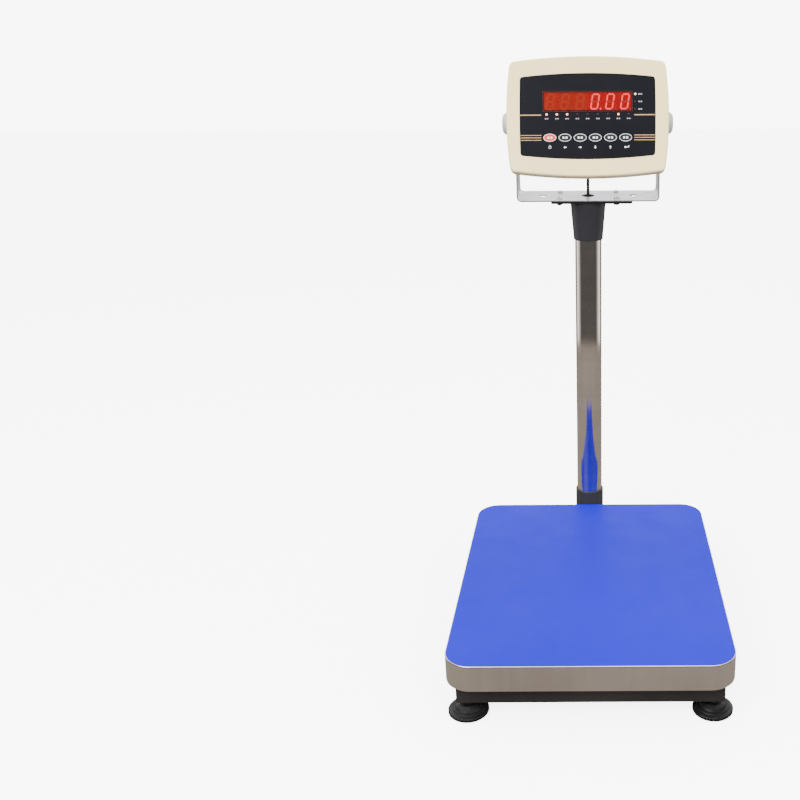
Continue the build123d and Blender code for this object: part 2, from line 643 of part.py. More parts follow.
def column_cap():
    """Tapered plastic cap over the top of the column, cut to the incline of the plate."""
    height = CAP_TOP_Z - CAP_BOTTOM_Z
    slope = (CAP_TOP_RADIUS - CAP_BOTTOM_RADIUS) / height
    tall = height + 10
    foot = Plane(origin=(0, COLUMN_Y, CAP_BOTTOM_Z))
    cap = Solid.make_cone(CAP_BOTTOM_RADIUS, CAP_BOTTOM_RADIUS + slope * tall, tall, foot)
    cap = fillet(cap.edges().sort_by(Axis.Z)[0], CAP_EDGE)
    cap -= upright(TUBE_RADIUS + SLIP_FIT, 0, COLUMN_Y, (CAP_BOTTOM_Z - PAST, TUBE_TOP + MOVING_GAP))
    cap -= upright(STUB_RADIUS + SLIP_FIT, 0, COLUMN_Y, (CAP_BOTTOM_Z, CAP_TOP_Z + tall))
    for z in GRUB_SCREW_Z:
        cap -= rod(GRUB_RADIUS, (0, COLUMN_Y + STUB_RADIUS, z), (0, COLUMN_Y + 2 * TUBE_RADIUS, z))
    return cap - above_head_plane(0)


def grub_screws():
    """Set screws through the cap that hold it on the column."""
    inner = COLUMN_Y + TUBE_RADIUS + MOVING_GAP
    outer = inner + GRUB_LENGTH
    socket_radius, socket_depth = GRUB_SOCKET
    screws = []
    for z in GRUB_SCREW_Z:
        screw = rod(GRUB_RADIUS - SNUG, (0, inner, z), (0, outer, z))
        screws.append(screw - rod(socket_radius, (0, outer - socket_depth, z), (0, outer + PAST, z)))
    return screws


def bracket_hole_places():
    return [(x, y) for x in both(BRACKET_HOLE_X) for y in both(BRACKET_HOLE_Y)]


def head_plate():
    """Steel plate, welded off-centre on a stub that turns inside the column tube."""
    centre = Pos(HEAD_PLATE_OFFSET, 0, HEAD_PLATE_THICKNESS / 2)
    plate = HEAD * centre * Box(HEAD_PLATE_WIDTH, HEAD_PLATE_DEPTH, HEAD_PLATE_THICKNESS)
    plate = fillet(plate.edges().filter_by(HEAD_NORMAL), HEAD_PLATE_CORNER)
    plate += upright(STUB_RADIUS, 0, COLUMN_Y, (HEAD_STUB_BOTTOM, CAP_TOP_Z + 20)) - above_head_plane(PAST)
    plate -= upright(STUB_RADIUS - STUB_WALL, 0, COLUMN_Y, (HEAD_STUB_BOTTOM - PAST, CAP_TOP_Z - 4))
    plate -= HEAD * upright(CABLE_HOLE_RADIUS, 0, 0, (-12, 12))
    for x, y in bracket_hole_places():
        plate -= HEAD * upright(BRACKET_HOLE_RADIUS, x, y, (-PAST, HEAD_PLATE_THICKNESS + PAST))
    return plate


def tilt_bracket():
    """U-shaped sheet bracket: drilled base, bent corners and two arms rounded over the pivot."""
    low, high = HEAD_PLATE_THICKNESS, PIVOT_HEIGHT + ARM_TOP_RADIUS

    def channel(shrink, bend):
        half = BRACKET_HALF_WIDTH - shrink
        outline = Pos(0, (low + high) / 2) * Rectangle(2 * half, high - low)
        outline = Pos(0, shrink) * fillet(outline.vertices().group_by(Axis.Y)[0], bend)
        return slab(outline, -BRACKET_DEPTH / 2 - shrink, BRACKET_DEPTH / 2 + shrink)

    half = BRACKET_DEPTH / 2
    shoulder = low + ARM_SHOULDER
    arm = Polygon(
        (-half, low), (half, low), (half, shoulder), (ARM_TOP_RADIUS, PIVOT_HEIGHT),
        (-ARM_TOP_RADIUS, PIVOT_HEIGHT), (-half, shoulder), align=None,
    )
    arm += Pos(0, PIVOT_HEIGHT) * Circle(ARM_TOP_RADIUS)
    arms = extrude(Plane.YZ.offset(-BRACKET_HALF_WIDTH) * arm, 2 * BRACKET_HALF_WIDTH)
    bracket = (channel(0, BRACKET_BEND) - channel(BRACKET_SHEET, BRACKET_BEND - BRACKET_SHEET)) & arms
    reach = BRACKET_HALF_WIDTH + PAST
    bracket -= rod(KNOB_STUD_RADIUS + MOVING_GAP, (-reach, 0, PIVOT_HEIGHT), (reach, 0, PIVOT_HEIGHT))
    through = (low - PAST, low + BRACKET_SHEET + PAST)
    bracket -= upright(CABLE_HOLE_RADIUS, 0, 0, through)
    for x in both(WALL_HOLE_X):
        bracket -= upright(WALL_HOLE_RADIUS, x, 0, through)
    for x, y in bracket_hole_places():
        bracket -= upright(BRACKET_HOLE_RADIUS, x, y, through)
    return HEAD * bracket


def bracket_screws():
    """Cross-head screws down through the bracket and the head plate."""
    seat = HEAD_PLATE_THICKNESS + BRACKET_SHEET
    radius, height = BRACKET_SCREW_HEAD
    length, width, depth = BRACKET_SCREW_SLOT
    screws = []
    for x, y in bracket_hole_places():
        head = upright(radius, x, y, (seat, seat + height))
        head = fillet(head.edges().sort_by(Axis.Z)[-1], BRACKET_SCREW_EDGE)
        for slot in (Box(length, width, depth), Box(width, length, depth)):
            head -= Pos(x, y, seat + height) * slot
        shank = upright(BRACKET_SCREW_RADIUS, x, y, (-BRACKET_NUT_HEIGHT - BRACKET_SCREW_END, seat))
        screws.append(HEAD * (head + shank))
    return screws


def bracket_nuts():
    nuts = []
    for x, y in bracket_hole_places():
        nut = hexagon(BRACKET_NUT_FLATS, x, y, (-BRACKET_NUT_HEIGHT, 0))
        bore = (-BRACKET_NUT_HEIGHT - PAST, PAST)
        nuts.append(HEAD * (nut - upright(BRACKET_SCREW_RADIUS + SNUG, x, y, bore)))
    return nuts


# ---- indicator case -----------------------------------------------------------------------
def face_outline(inset):
    corners = [corner - inset for corner in BEZEL_CORNERS]
    size = BEZEL_HALF_WIDTH - inset, BEZEL_HALF_HEIGHT - inset
    return barrel(*size, BEZEL_SIDE_BULGE, BEZEL_TOP_BULGE, corners)


def panel_outline(inset=0.0):
    size = PANEL_HALF_WIDTH - inset, PANEL_HALF_HEIGHT - inset
    return barrel(*size, PANEL_SIDE_BULGE, PANEL_TOP_BULGE, (PANEL_CORNER, PANEL_CORNER))


def oval(x, z, grow=0.0):
    return Pos(x, z) * Ellipse(KEY_WIDTH / 2 + grow, KEY_HEIGHT / 2 + grow)


def led_places():
    row = [(x, ROW_LED_Z) for x in spread(ROW_LED_COUNT, ROW_LED_PITCH)]
    side = [(SIDE_LED_X, SIDE_LED_Z + z) for z in spread(SIDE_LED_COUNT, SIDE_LED_PITCH)]
    return row + side


def face_part(sketch, front, back):
    """Slab on the indicator's face, with the sketch's origin at the middle of the face."""
    return slab(Pos(0, FACE_Z) * sketch, front, back)


def cut_face_openings(body, window_inset):
    """Key, lamp and display openings shared by the bezel's front wall and the overlay."""
    front, back = FACE_Y - PAST, WALL_BACK + PAST
    window = Rectangle(WINDOW_WIDTH - 2 * window_inset, WINDOW_HEIGHT - 2 * window_inset)
    body -= face_part(Pos(0, WINDOW_Z) * window, front, back)
    for x in spread(KEY_COUNT, KEY_PITCH):
        body -= face_part(oval(x, KEY_Z, KEY_GAP), front, back)
    for x, z in led_places():
        body -= face_part(Pos(x, z) * Circle(LED_RADIUS + LED_FIT), front, back)
    return body


def case_screw_places():
    return [Pos(x, z) for x in both(CASE_SCREW_X) for z in both(CASE_SCREW_Z)]


def front_bezel():
    """Crowned plastic bezel: bowed outline, stepped recess for the panel, screw bosses behind."""
    bezel = face_part(face_outline(0), FACE_Y, SPLIT_Y)
    bezel = fillet(bezel.faces().sort_by(Axis.Y)[0].edges(), BEZEL_FRONT_EDGE)
    bezel -= face_part(face_outline(BEZEL_WALL), WALL_BACK, SPLIT_Y + PAST)
    for place in case_screw_places():
        bezel += face_part(place * Circle(CASE_BOSS_RADIUS), WALL_BACK - 0.5, SPLIT_Y)
        bezel -= face_part(place * Circle(CASE_SCREW_RADIUS + SNUG), WALL_BACK + 4, SPLIT_Y + PAST)
    bezel -= face_part(panel_outline(), FACE_Y - PAST, RECESS_FLOOR)
    return INDICATOR * cut_face_openings(bezel, WINDOW_STEP)


def keypad_overlay():
    overlay = face_part(panel_outline(PANEL_PLAY), OVERLAY_FRONT, RECESS_FLOOR)
    return INDICATOR * cut_face_openings(overlay, -LED_FIT)


def rear_case():
    """Back of the indicator: flange behind the bezel and a shallow tray with pivot bosses."""
    flange = face_part(face_outline(FLANGE_INSET), SPLIT_Y, SPLIT_Y + BEZEL_WALL)
    tray = face_part(Rectangle(2 * TRAY_HALF_WIDTH, 2 * TRAY_HALF_HEIGHT), SPLIT_Y, TRAY_BACK_Y)
    tray = fillet(tray.edges().filter_by(Axis.Y), TRAY_SIDE_CORNER)
    tray = fillet(tray.faces().sort_by(Axis.Y)[-1].edges(), TRAY_BACK_EDGE)
    inner = Rectangle(2 * (TRAY_HALF_WIDTH - BEZEL_WALL), 2 * (TRAY_HALF_HEIGHT - BEZEL_WALL))
    case = flange + tray - face_part(inner, SPLIT_Y - PAST, TRAY_BACK_Y - BEZEL_WALL)
    behind_split = block((-TRAY_HALF_WIDTH, TRAY_HALF_WIDTH), (SPLIT_Y, TRAY_BACK_Y), both(PIVOT_BOSS_RADIUS))
    for side in (-1, 1):
        inside = side * (TRAY_HALF_WIDTH - PIVOT_BOSS_LENGTH)
        case += rod(PIVOT_BOSS_RADIUS, (inside, 0, 0), (side * (TRAY_HALF_WIDTH - PAST), 0, 0)) & behind_split
        case -= rod(INSERT_RADIUS, (side * (TRAY_HALF_WIDTH + PAST), 0, 0), (inside - side, 0, 0))
    for place in case_screw_places():
        hole = place * Circle(CASE_SCREW_RADIUS + BOLT_CLEARANCE)
        case -= face_part(hole, SPLIT_Y - PAST, SPLIT_Y + BEZEL_WALL + PAST)
    for z in spread(VENT_COUNT, VENT_PITCH):
        slot = Pos(0, VENT_Z + z) * SlotOverall(*VENT_SIZE)
        case -= face_part(slot, TRAY_BACK_Y - BEZEL_WALL - PAST, TRAY_BACK_Y + PAST)
    below = FACE_Z - TRAY_HALF_HEIGHT - PAST
    return INDICATOR * (case - upright(GLAND_HOLE, 0, GLAND_Y, (below, FACE_Z)))


def pivot_inserts():
    """Threaded brass inserts moulded into the sides of the rear case."""
    inserts = []
    for side in (-1, 1):
        inner, outer = TRAY_HALF_WIDTH - PIVOT_BOSS_LENGTH, TRAY_HALF_WIDTH + INSERT_PROUD
        ends = (side * inner, 0, 0), (side * outer, 0, 0)
        inserts.append(INDICATOR * pipe(INSERT_RADIUS, KNOB_STUD_RADIUS + STUD_FIT, *ends))
    return inserts


def case_screws():
    """Cross-head screws from the rear case into the bezel's bosses."""
    seat = SPLIT_Y + BEZEL_WALL
    radius, height = CASE_SCREW_HEAD
    length, width = CASE_SCREW_CROSS
    screws = []
    for place in case_screw_places():
        head = face_part(place * Circle(radius), seat, seat + height)
        cross = place * (Rectangle(length, width) + Rectangle(width, length))
        head -= face_part(cross, seat + height / 2, seat + height + PAST)
        shank = face_part(place * Circle(CASE_SCREW_RADIUS), SPLIT_Y - CASE_SCREW_REACH, seat)
        screws.append(INDICATOR * (head + shank))
    return screws


def cable_gland():
    """Gland under the rear case: inner nut, hexagon body and domed clamping nut."""
    wall = FACE_Z - TRAY_HALF_HEIGHT
    inside = wall + BEZEL_WALL
    body_flats, inner_flats = GLAND_NUT_FLATS
    dome_radius, dome_edge = GLAND_DOME
    gland = hexagon(body_flats, 0, GLAND_Y, (wall - GLAND_NUT_HEIGHT, wall))
    gland += upright(GLAND_THREAD, 0, GLAND_Y, (wall - GLAND_NUT_HEIGHT, wall + CASE_SCREW_REACH))
    gland += hexagon(inner_flats, 0, GLAND_Y, (inside + LED_FIT, inside + 4))
    nut = upright(dome_radius, 0, GLAND_Y, (-GLAND_DROP, wall - GLAND_NUT_HEIGHT + 0.1))
    gland += fillet(nut.edges().sort_by(Axis.Z)[0], dome_edge)
    return INDICATOR * (gland - upright(CABLE_RADIUS, 0, GLAND_Y, (-GLAND_DROP - PAST, 0)))


# ---- display, keys and boards -------------------------------------------------------------
def display_window():
    """Red filter over the digits, seated on the step round the bezel's display opening."""
    plate = Pos(0, WINDOW_Z) * Rectangle(WINDOW_WIDTH, WINDOW_HEIGHT)
    step = WINDOW_STEP + LED_FIT
    tongue = Pos(0, WINDOW_Z) * Rectangle(WINDOW_WIDTH - 2 * step, WINDOW_HEIGHT - 2 * step)
    window = face_part(plate, OVERLAY_FRONT, RECESS_FLOOR)
    return INDICATOR * (window + face_part(tongue, RECESS_FLOOR, WALL_BACK - 1))


def digit_modules():
    height, depth = DIGIT_BLOCK
    front = WALL_BACK + LED_FIT
    module = Rectangle(DIGIT_PITCH - DIGIT_GAP, height)
    return [
        INDICATOR * face_part(Pos(x, WINDOW_Z) * module, front, front + depth)
        for x in spread(DIGIT_COUNT, DIGIT_PITCH)
    ]


def status_leds():
    lamp = Circle(LED_RADIUS)
    return [
        INDICATOR * face_part(Pos(x, z) * lamp, OVERLAY_FRONT - LED_FIT, BOARD_FRONT) for x, z in led_places()
    ]


def key(x):
    front = OVERLAY_FRONT - KEY_PROUD
    cap = face_part(oval(x, KEY_Z), front, front + KEY_THICKNESS)
    return INDICATOR * fillet(cap.faces().sort_by(Axis.Y)[0].edges(), KEY_EDGE)


def display_board():
    """Circuit board behind the face, with a switch standing behind each key."""
    x, z, width, height = DISPLAY_BOARD
    board = face_part(Pos(x, z) * Rectangle(width, height), BOARD_FRONT, BOARD_FRONT + BOARD_THICKNESS)
    plunger_front = OVERLAY_FRONT - KEY_PROUD + KEY_THICKNESS + KEY_TRAVEL + MOVING_GAP
    body_front = plunger_front + 1
    for x in spread(KEY_COUNT, KEY_PITCH):
        body = Pos(x, KEY_Z) * Rectangle(SWITCH_BODY, SWITCH_BODY)
        board += face_part(body, body_front, BOARD_FRONT + LED_FIT)
        board += face_part(Pos(x, KEY_Z) * Circle(SWITCH_PLUNGER), plunger_front, body_front + LED_FIT)
    return INDICATOR * board


def main_board():
    """Processor and power board on the floor of the tray, with its tallest components."""
    x, z, width, height = MAIN_BOARD
    back = TRAY_BACK_Y - MAIN_BOARD_STANDOFF
    front = back - BOARD_THICKNESS
    board = face_part(Pos(x, z) * Rectangle(width, height), front, back)
    for x, z, width, height, rise in (POWER_MODULE, PROCESSOR):
        board += face_part(Pos(x, z) * Rectangle(width, height), front - rise, front + LED_FIT)
    return INDICATOR * board


def battery_pack():
    x, z, width, height, depth = BATTERY
    back = TRAY_BACK_Y - BEZEL_WALL - LED_FIT
    pack = face_part(Pos(x, z) * Rectangle(width, height), back - depth, back)
    return INDICATOR * fillet(pack.edges().filter_by(Axis.Y), 2)


# ---- tilt knobs ---------------------------------------------------------------------------
def knob_washer(side):
    ends = (side * WASHER_INNER_X, 0, 0), (side * (WASHER_INNER_X + WASHER_THICKNESS), 0, 0)
    return INDICATOR * pipe(WASHER_RADIUS, KNOB_STUD_RADIUS + MOVING_GAP, *ends)


def knob(side):
    """Fluted domed clamping knob with its moulded-in threaded stud."""
    grip = upright(KNOB_RADIUS, 0, 0, (0, KNOB_OUTER_X - KNOB_INNER_X))
    grip = fillet(grip.edges().sort_by(Axis.Z)[-1], KNOB_DOME)
    outset, radius, middle, length = KNOB_FLUTE
    for i in range(KNOB_FLUTES):
        turn = Rot(0, 0, 360 * i / KNOB_FLUTES)
        grip -= turn * Pos(KNOB_RADIUS + outset, 0, middle) * Cylinder(radius, length)
    stud_end = KNOB_INNER_X - TRAY_HALF_WIDTH + KNOB_STUD_BITE
    grip += upright(KNOB_STUD_RADIUS, 0, 0, (-stud_end, PAST))
    return INDICATOR * Pos(side * KNOB_INNER_X, 0, 0) * Rot(0, side * 90, 0) * grip


# ---- cables -------------------------------------------------------------------------------
def cable(name, points, radii):
    """Round cable along straight runs joined by tangent arcs, drawn in the middle plane."""
    path = FilletPolyline(*[(0, y, z) for y, z in points], radius=radii)
    start = Plane(origin=path @ 0, z_dir=path % 0)
    tube = sweep(start * Circle(CABLE_RADIUS), path=path)
    expected = pi * CABLE_RADIUS**2 * path.length
    ratio = round(tube.volume / expected, 4)
    print(name, "radii", radii, "length", round(path.length, 1), "volume ratio", ratio)
    return tube


def signal_cable():
    """From the fixed end of the load cell, through the rear rail and up inside the column."""
    rear = PAN_CENTRE_Y + CELL_LENGTH / 2
    points = [
        (rear, CELL_MID_Z), (rear + 40, CELL_MID_Z), (rear + 100, CABLE_ENTRY_Z),
        (COLUMN_Y, CABLE_ENTRY_Z), (COLUMN_Y, CABLE_JOIN_Z),
    ]
    return cable("signal_cable", points, [CABLE_SWEEP, CABLE_SWEEP, CABLE_TURN])


def indicator_cable():
    """From the column, out through the bracket and up into the gland under the indicator."""
    tip = (INDICATOR * Pos(0, GLAND_Y, -GLAND_DROP)).position
    below = (INDICATOR * Pos(0, GLAND_Y, -GLAND_DROP - CABLE_LEAD)).position
    points = [(COLUMN_Y, CABLE_JOIN_Z), (COLUMN_Y, BRACKET_TOP_Z - 4), (below.Y, below.Z), (tip.Y, tip.Z)]
    return cable("indicator_cable", points, [CABLE_TURN, CABLE_TURN])


# ---- all nodes ----------------------------------------------------------------------------
nodes = {
    "platter": pan(),
    "platter_film": pan_film(),
    "base_rail_front": cross_rail(FOOT_FRONT_Y),
    "base_rail_rear": rear_rail(),
    "base_rail_left": side_rail(-1),
    "base_rail_right": side_rail(1),
    "overload_stop_screws": overload_stops(),
    "cell_mount_plate": cell_plate(1, FRAME_HALF_WIDTH - RAIL, LOWER_PLATE_Z),
    "load_cell": load_cell(),
    "load_cell_spacers": cell_spacers(),
    "load_cell_bolts": cell_bolts(),
    "upper_cell_plate": cell_plate(-1, UPPER_RAIL_X - UPPER_RAIL_WIDTH / 2, UPPER_PLATE_Z),
    "upper_rail_left": upper_rail(-1),
    "upper_rail_right": upper_rail(1),
    "platter_pads": pan_pads(),
    "foot_lock_nuts": lock_nuts(),
    "column_bracket": column_bracket(),
    "column_bracket_bolts": column_bolts(),
    "column_socket": column_socket(),
    "column_tube": column_tube(),
    "column_clamp_screws": clamp_screws(),
    "bubble_level": bubble_level(),
    "signal_cable": signal_cable(),
    "column_cap": column_cap(),
    "cap_grub_screws": grub_screws(),
    "head_plate": head_plate(),
    "tilt_bracket": tilt_bracket(),
    "bracket_screws": bracket_screws(),
    "bracket_nuts": bracket_nuts(),
    "indicator_cable": indicator_cable(),
    "front_bezel": front_bezel(),
    "keypad_overlay": keypad_overlay(),
    "display_window": display_window(),
    "digit_modules": digit_modules(),
    "status_leds": status_leds(),
    "display_board": display_board(),
    "rear_case": rear_case(),
    "pivot_inserts": pivot_inserts(),
    "case_screws": case_screws(),
    "main_board": main_board(),
    "battery_pack": battery_pack(),
    "cable_gland": cable_gland(),
}
for name, y in (("front", FOOT_FRONT_Y), ("rear", FOOT_REAR_Y)):
    for side, x in (("left", -FOOT_X), ("right", FOOT_X)):
        nodes[f"foot_pad_{name}_{side}"] = foot_pad(x, y)
        nodes[f"foot_stud_{name}_{side}"] = foot_stud(x, y)
for side, sign in (("left", -1), ("right", 1)):
    nodes[f"knob_{side}"] = knob(sign)
    nodes[f"knob_washer_{side}"] = knob_washer(sign)
for number, x in enumerate(spread(KEY_COUNT, KEY_PITCH), start=1):
    nodes[f"key_{number}"] = key(x)

os.makedirs("parts", exist_ok=True)
for name, shape in nodes.items():
    solids = shape if isinstance(shape, list) else [shape]
    export_step(Compound(children=[Solid(s.solid().wrapped) for s in solids]), f"parts/{name}.step")
print(len(nodes), "nodes, overall height", round(nodes["front_bezel"].bounding_box().max.Z, 1))
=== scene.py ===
import json
from math import cos, pi, radians, sin

import bmesh
import bpy
from mathutils import Matrix, Vector


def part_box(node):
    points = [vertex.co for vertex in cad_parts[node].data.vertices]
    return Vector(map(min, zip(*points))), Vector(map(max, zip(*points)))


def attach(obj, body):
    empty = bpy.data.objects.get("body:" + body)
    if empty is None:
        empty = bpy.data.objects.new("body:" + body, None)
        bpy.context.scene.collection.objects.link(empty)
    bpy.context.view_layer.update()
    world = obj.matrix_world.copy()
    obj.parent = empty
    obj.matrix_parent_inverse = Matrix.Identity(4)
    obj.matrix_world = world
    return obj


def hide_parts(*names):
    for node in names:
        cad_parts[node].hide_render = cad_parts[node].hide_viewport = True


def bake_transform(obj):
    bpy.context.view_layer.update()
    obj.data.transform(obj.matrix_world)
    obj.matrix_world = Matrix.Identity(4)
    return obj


MM = 0.001

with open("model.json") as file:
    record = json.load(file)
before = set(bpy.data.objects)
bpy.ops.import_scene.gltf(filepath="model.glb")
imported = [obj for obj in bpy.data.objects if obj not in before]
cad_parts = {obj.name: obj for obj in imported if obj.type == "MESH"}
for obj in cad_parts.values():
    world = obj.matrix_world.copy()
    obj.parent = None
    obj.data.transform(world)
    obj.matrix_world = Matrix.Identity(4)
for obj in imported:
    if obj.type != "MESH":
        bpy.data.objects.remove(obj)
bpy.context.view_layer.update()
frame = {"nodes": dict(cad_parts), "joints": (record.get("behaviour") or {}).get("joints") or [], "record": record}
JOINTS = {joint["name"]: joint for joint in frame["joints"]}


# ---- node materials -----------------------------------------------------------------------
class Surface:
    """A Principled material with procedural colour, roughness and bump in object space."""

    def __init__(self, name, metallic=0.0, specular=0.5, coat=0.0):
        self.material = bpy.data.materials.new(name)
        self.material.use_nodes = True
        self.nodes = self.material.node_tree.nodes
        self.links = self.material.node_tree.links
        self.shader = self.nodes["Principled BSDF"]
        self.shader.inputs["Metallic"].default_value = metallic
        self.shader.inputs["Specular IOR Level"].default_value = specular
        self.shader.inputs["Coat Weight"].default_value = coat
        self.place = self.nodes.new("ShaderNodeTexCoord").outputs["Object"]
        self.height = None

    def set(self, socket, value):
        self.shader.inputs[socket].default_value = value
        return self

    def stretched(self, scale):
        mapping = self.nodes.new("ShaderNodeMapping")
        mapping.inputs["Scale"].default_value = scale
        self.links.new(self.place, mapping.inputs["Vector"])
        return mapping.outputs["Vector"]

    def noise(self, scale, detail=4.0, roughness=0.55, stretch=None):
        noise = self.nodes.new("ShaderNodeTexNoise")
        noise.inputs["Scale"].default_value = scale
        noise.inputs["Detail"].default_value = detail
        noise.inputs["Roughness"].default_value = roughness
        self.links.new(self.stretched(stretch) if stretch else self.place, noise.inputs["Vector"])
        return noise.outputs["Fac"]

    def cells(self, scale, stretch=None):
        cells = self.nodes.new("ShaderNodeTexVoronoi")
        cells.inputs["Scale"].default_value = scale
        self.links.new(self.stretched(stretch) if stretch else self.place, cells.inputs["Vector"])
        return cells.outputs["Distance"]

    def rescale(self, source, source_range, target_range):
        remap = self.nodes.new("ShaderNodeMapRange")
        remap.inputs["From Min"].default_value, remap.inputs["From Max"].default_value = source_range
        remap.inputs["To Min"].default_value, remap.inputs["To Max"].default_value = target_range
        self.links.new(source, remap.inputs["Value"])
        return remap.outputs["Result"]

    def mix(self, factor, first, second):
        mix = self.nodes.new("ShaderNodeMix")
        mix.data_type = "RGBA"
        self.links.new(factor, mix.inputs["Factor"])
        for socket, value in (("A", first), ("B", second)):
            target = next(i for i in mix.inputs if i.name == socket and i.type == "RGBA")
            if isinstance(value, tuple):
                target.default_value = (*value, 1.0)
            else:
                self.links.new(value, target)
        return next(o for o in mix.outputs if o.type == "RGBA")

    def colour(self, source):
        self.links.new(source, self.shader.inputs["Base Color"])
        return self

    def rough(self, source, low, high, source_range=(0.3, 0.7)):
        self.links.new(self.rescale(source, source_range, (low, high)), self.shader.inputs["Roughness"])
        return self

    def bump(self, source, distance, strength=1.0):
        bump = self.nodes.new("ShaderNodeBump")
        bump.inputs["Strength"].default_value = strength
        bump.inputs["Distance"].default_value = distance
        self.links.new(source, bump.inputs["Height"])
        if self.height:
            self.links.new(self.height, bump.inputs["Normal"])
        self.height = bump.outputs["Normal"]
        self.links.new(self.height, self.shader.inputs["Normal"])
        return self


def patchy(surface, light, dark, scale, spread=(0.35, 0.65), stretch=None):
    """Base colour drifting between two tones."""
    factor = surface.rescale(surface.noise(scale, stretch=stretch), spread, (0.0, 1.0))
    return surface.mix(factor, dark, light)


def specks(surface, base, colour, scale, threshold=(0.62, 0.72), amount=0.6):
    """Scattered small marks of another colour over a base."""
    factor = surface.rescale(surface.noise(scale, detail=2), threshold, (0.0, amount))
    return surface.mix(factor, base, colour)


def stainless(name, streak):
    """Polished stainless steel with polishing streaks, faint smudges and a warm cast; the warm cast is a painted
    reflection of a brown floor.
    """
    s = Surface(name, metallic=1.0)
    # The warm tones are a painted reflection of a brown floor, not the steel's own colour.
    tone = patchy(s, (0.60, 0.53, 0.47), (0.50, 0.43, 0.37), 6)
    streaks = s.noise(60, detail=6, stretch=streak)
    s.colour(s.mix(s.rescale(streaks, (0.3, 0.7), (0.0, 0.25)), tone, (0.72, 0.68, 0.64)))
    s.rough(s.noise(9, detail=5), 0.06, 0.16)
    return s.bump(streaks, 0.00002, 0.35).bump(s.noise(14, detail=2), 0.0006, 0.12)


def blue_film():
    """Blue PVC film: even colour, slight orange peel, dusty haze and rubbed patches."""
    s = Surface("blue_film", specular=0.05)
    tone = patchy(s, (0.005, 0.0003, 0.335), (0.004, 0.0002, 0.305), 3.5)
    s.colour(specks(s, tone, (0.012, 0.004, 0.36), 220, (0.66, 0.78), 0.25))
    s.rough(s.noise(18, detail=6), 0.34, 0.5)
    return s.bump(s.noise(420, detail=2), 0.00003, 0.5).bump(s.noise(5, detail=1), 0.002, 0.12)


def powder_coat():
    s = Surface("black_steel", specular=0.2)
    tone = patchy(s, (0.017, 0.0145, 0.0140), (0.011, 0.0095, 0.0095), 12)
    s.colour(specks(s, tone, (0.03, 0.027, 0.025), 90, (0.68, 0.78), 0.5))
    s.rough(s.noise(30), 0.38, 0.6)
    return s.bump(s.noise(900, detail=3), 0.00008, 0.6)


def plated(name, light, dark, rough=(0.22, 0.45)):
    """Zinc-plated or blackened steel with mottled crystals and a few dull spots."""
    s = Surface(name, metallic=0.7, specular=0.3)
    mottled = s.mix(s.rescale(s.cells(260), (0.0, 0.8), (0.0, 1.0)), dark, light)
    s.colour(specks(s, mottled, tuple(0.5 * c for c in dark), 60))
    s.rough(s.noise(80), *rough)
    return s.bump(s.noise(500, detail=3), 0.00004, 0.5)


def galvanised():
    """Light grey zinc-plated sheet with soft spangle and rolling marks, dull on its sheared edges."""
    s = Surface("galvanised", metallic=0.55, specular=0.4)
    normal = s.nodes.new("ShaderNodeSeparateXYZ")
    s.links.new(s.nodes.new("ShaderNodeTexCoord").outputs["Normal"], normal.inputs["Vector"])
    across = s.nodes.new("ShaderNodeMath")
    across.operation = "ABSOLUTE"
    s.links.new(normal.outputs["Y"], across.inputs[0])
    sheared = s.rescale(across.outputs["Value"], (0.85, 0.93), (0.0, 1.0))
    spangle = s.mix(s.rescale(s.cells(70), (0.0, 0.7), (0.0, 1.0)), (0.44, 0.45, 0.47), (0.57, 0.58, 0.60))
    spangle = specks(s, spangle, (0.26, 0.26, 0.28), 45, (0.64, 0.75), 0.4)
    s.colour(s.mix(sheared, spangle, patchy(s, (0.15, 0.15, 0.16), (0.10, 0.10, 0.11), 120)))
    s.rough(s.noise(25, stretch=(1, 8, 1)), 0.28, 0.48)
    return s.bump(s.noise(260, detail=3, stretch=(1, 10, 1)), 0.00005, 0.4)


def cast_alloy():
    s = Surface("cell_alloy", metallic=1.0)
    s.colour(patchy(s, (0.82, 0.83, 0.85), (0.62, 0.63, 0.66), 30, stretch=(1, 12, 1)))
    s.rough(s.noise(50, stretch=(1, 20, 1)), 0.2, 0.38)
    return s.bump(s.noise(300, stretch=(1, 30, 1)), 0.00004, 0.5)


def rubber(name, tone=0.02):
    """Moulded black rubber with chalky dust in its texture."""
    s = Surface(name, specular=0.2)
    base = patchy(s, (0.5 * tone,) * 3, (0.2 * tone,) * 3, 25)
    s.colour(specks(s, base, (0.035, 0.033, 0.030), 140, (0.6, 0.78), 0.35))
    s.rough(s.noise(60), 0.32, 0.6)
    return s.bump(s.noise(700, detail=4), 0.00012, 0.7)


def moulded(name, light, dark, rough=(0.4, 0.58), grain=1100, depth=0.00006, dirt=0.15):
    """Injection-moulded plastic with spark-eroded grain and light handling marks."""
    s = Surface(name, specular=0.45 if light[0] > 0.1 else 0.15)
    base = patchy(s, light, dark, 7)
    s.colour(specks(s, base, tuple(0.55 * c for c in dark), 35, (0.64, 0.8), dirt))
    s.rough(s.noise(22, detail=5), *rough)
    return s.bump(s.noise(grain, detail=2), depth, 0.6).bump(s.cells(650), depth / 2, 0.25)


def printed_panel():
    """Screen-printed polyester overlay, blue-black with a fine matt texture."""
    s = Surface("overlay_black", specular=0.06)
    base = patchy(s, (0.0038, 0.0042, 0.0064), (0.0032, 0.0035, 0.0055), 10)
    s.colour(specks(s, base, (0.008, 0.0085, 0.012), 300, (0.62, 0.75), 0.35))
    s.rough(s.noise(40, detail=4), 0.30, 0.38)
    return s.bump(s.noise(1600, detail=2), 0.00002, 0.5)


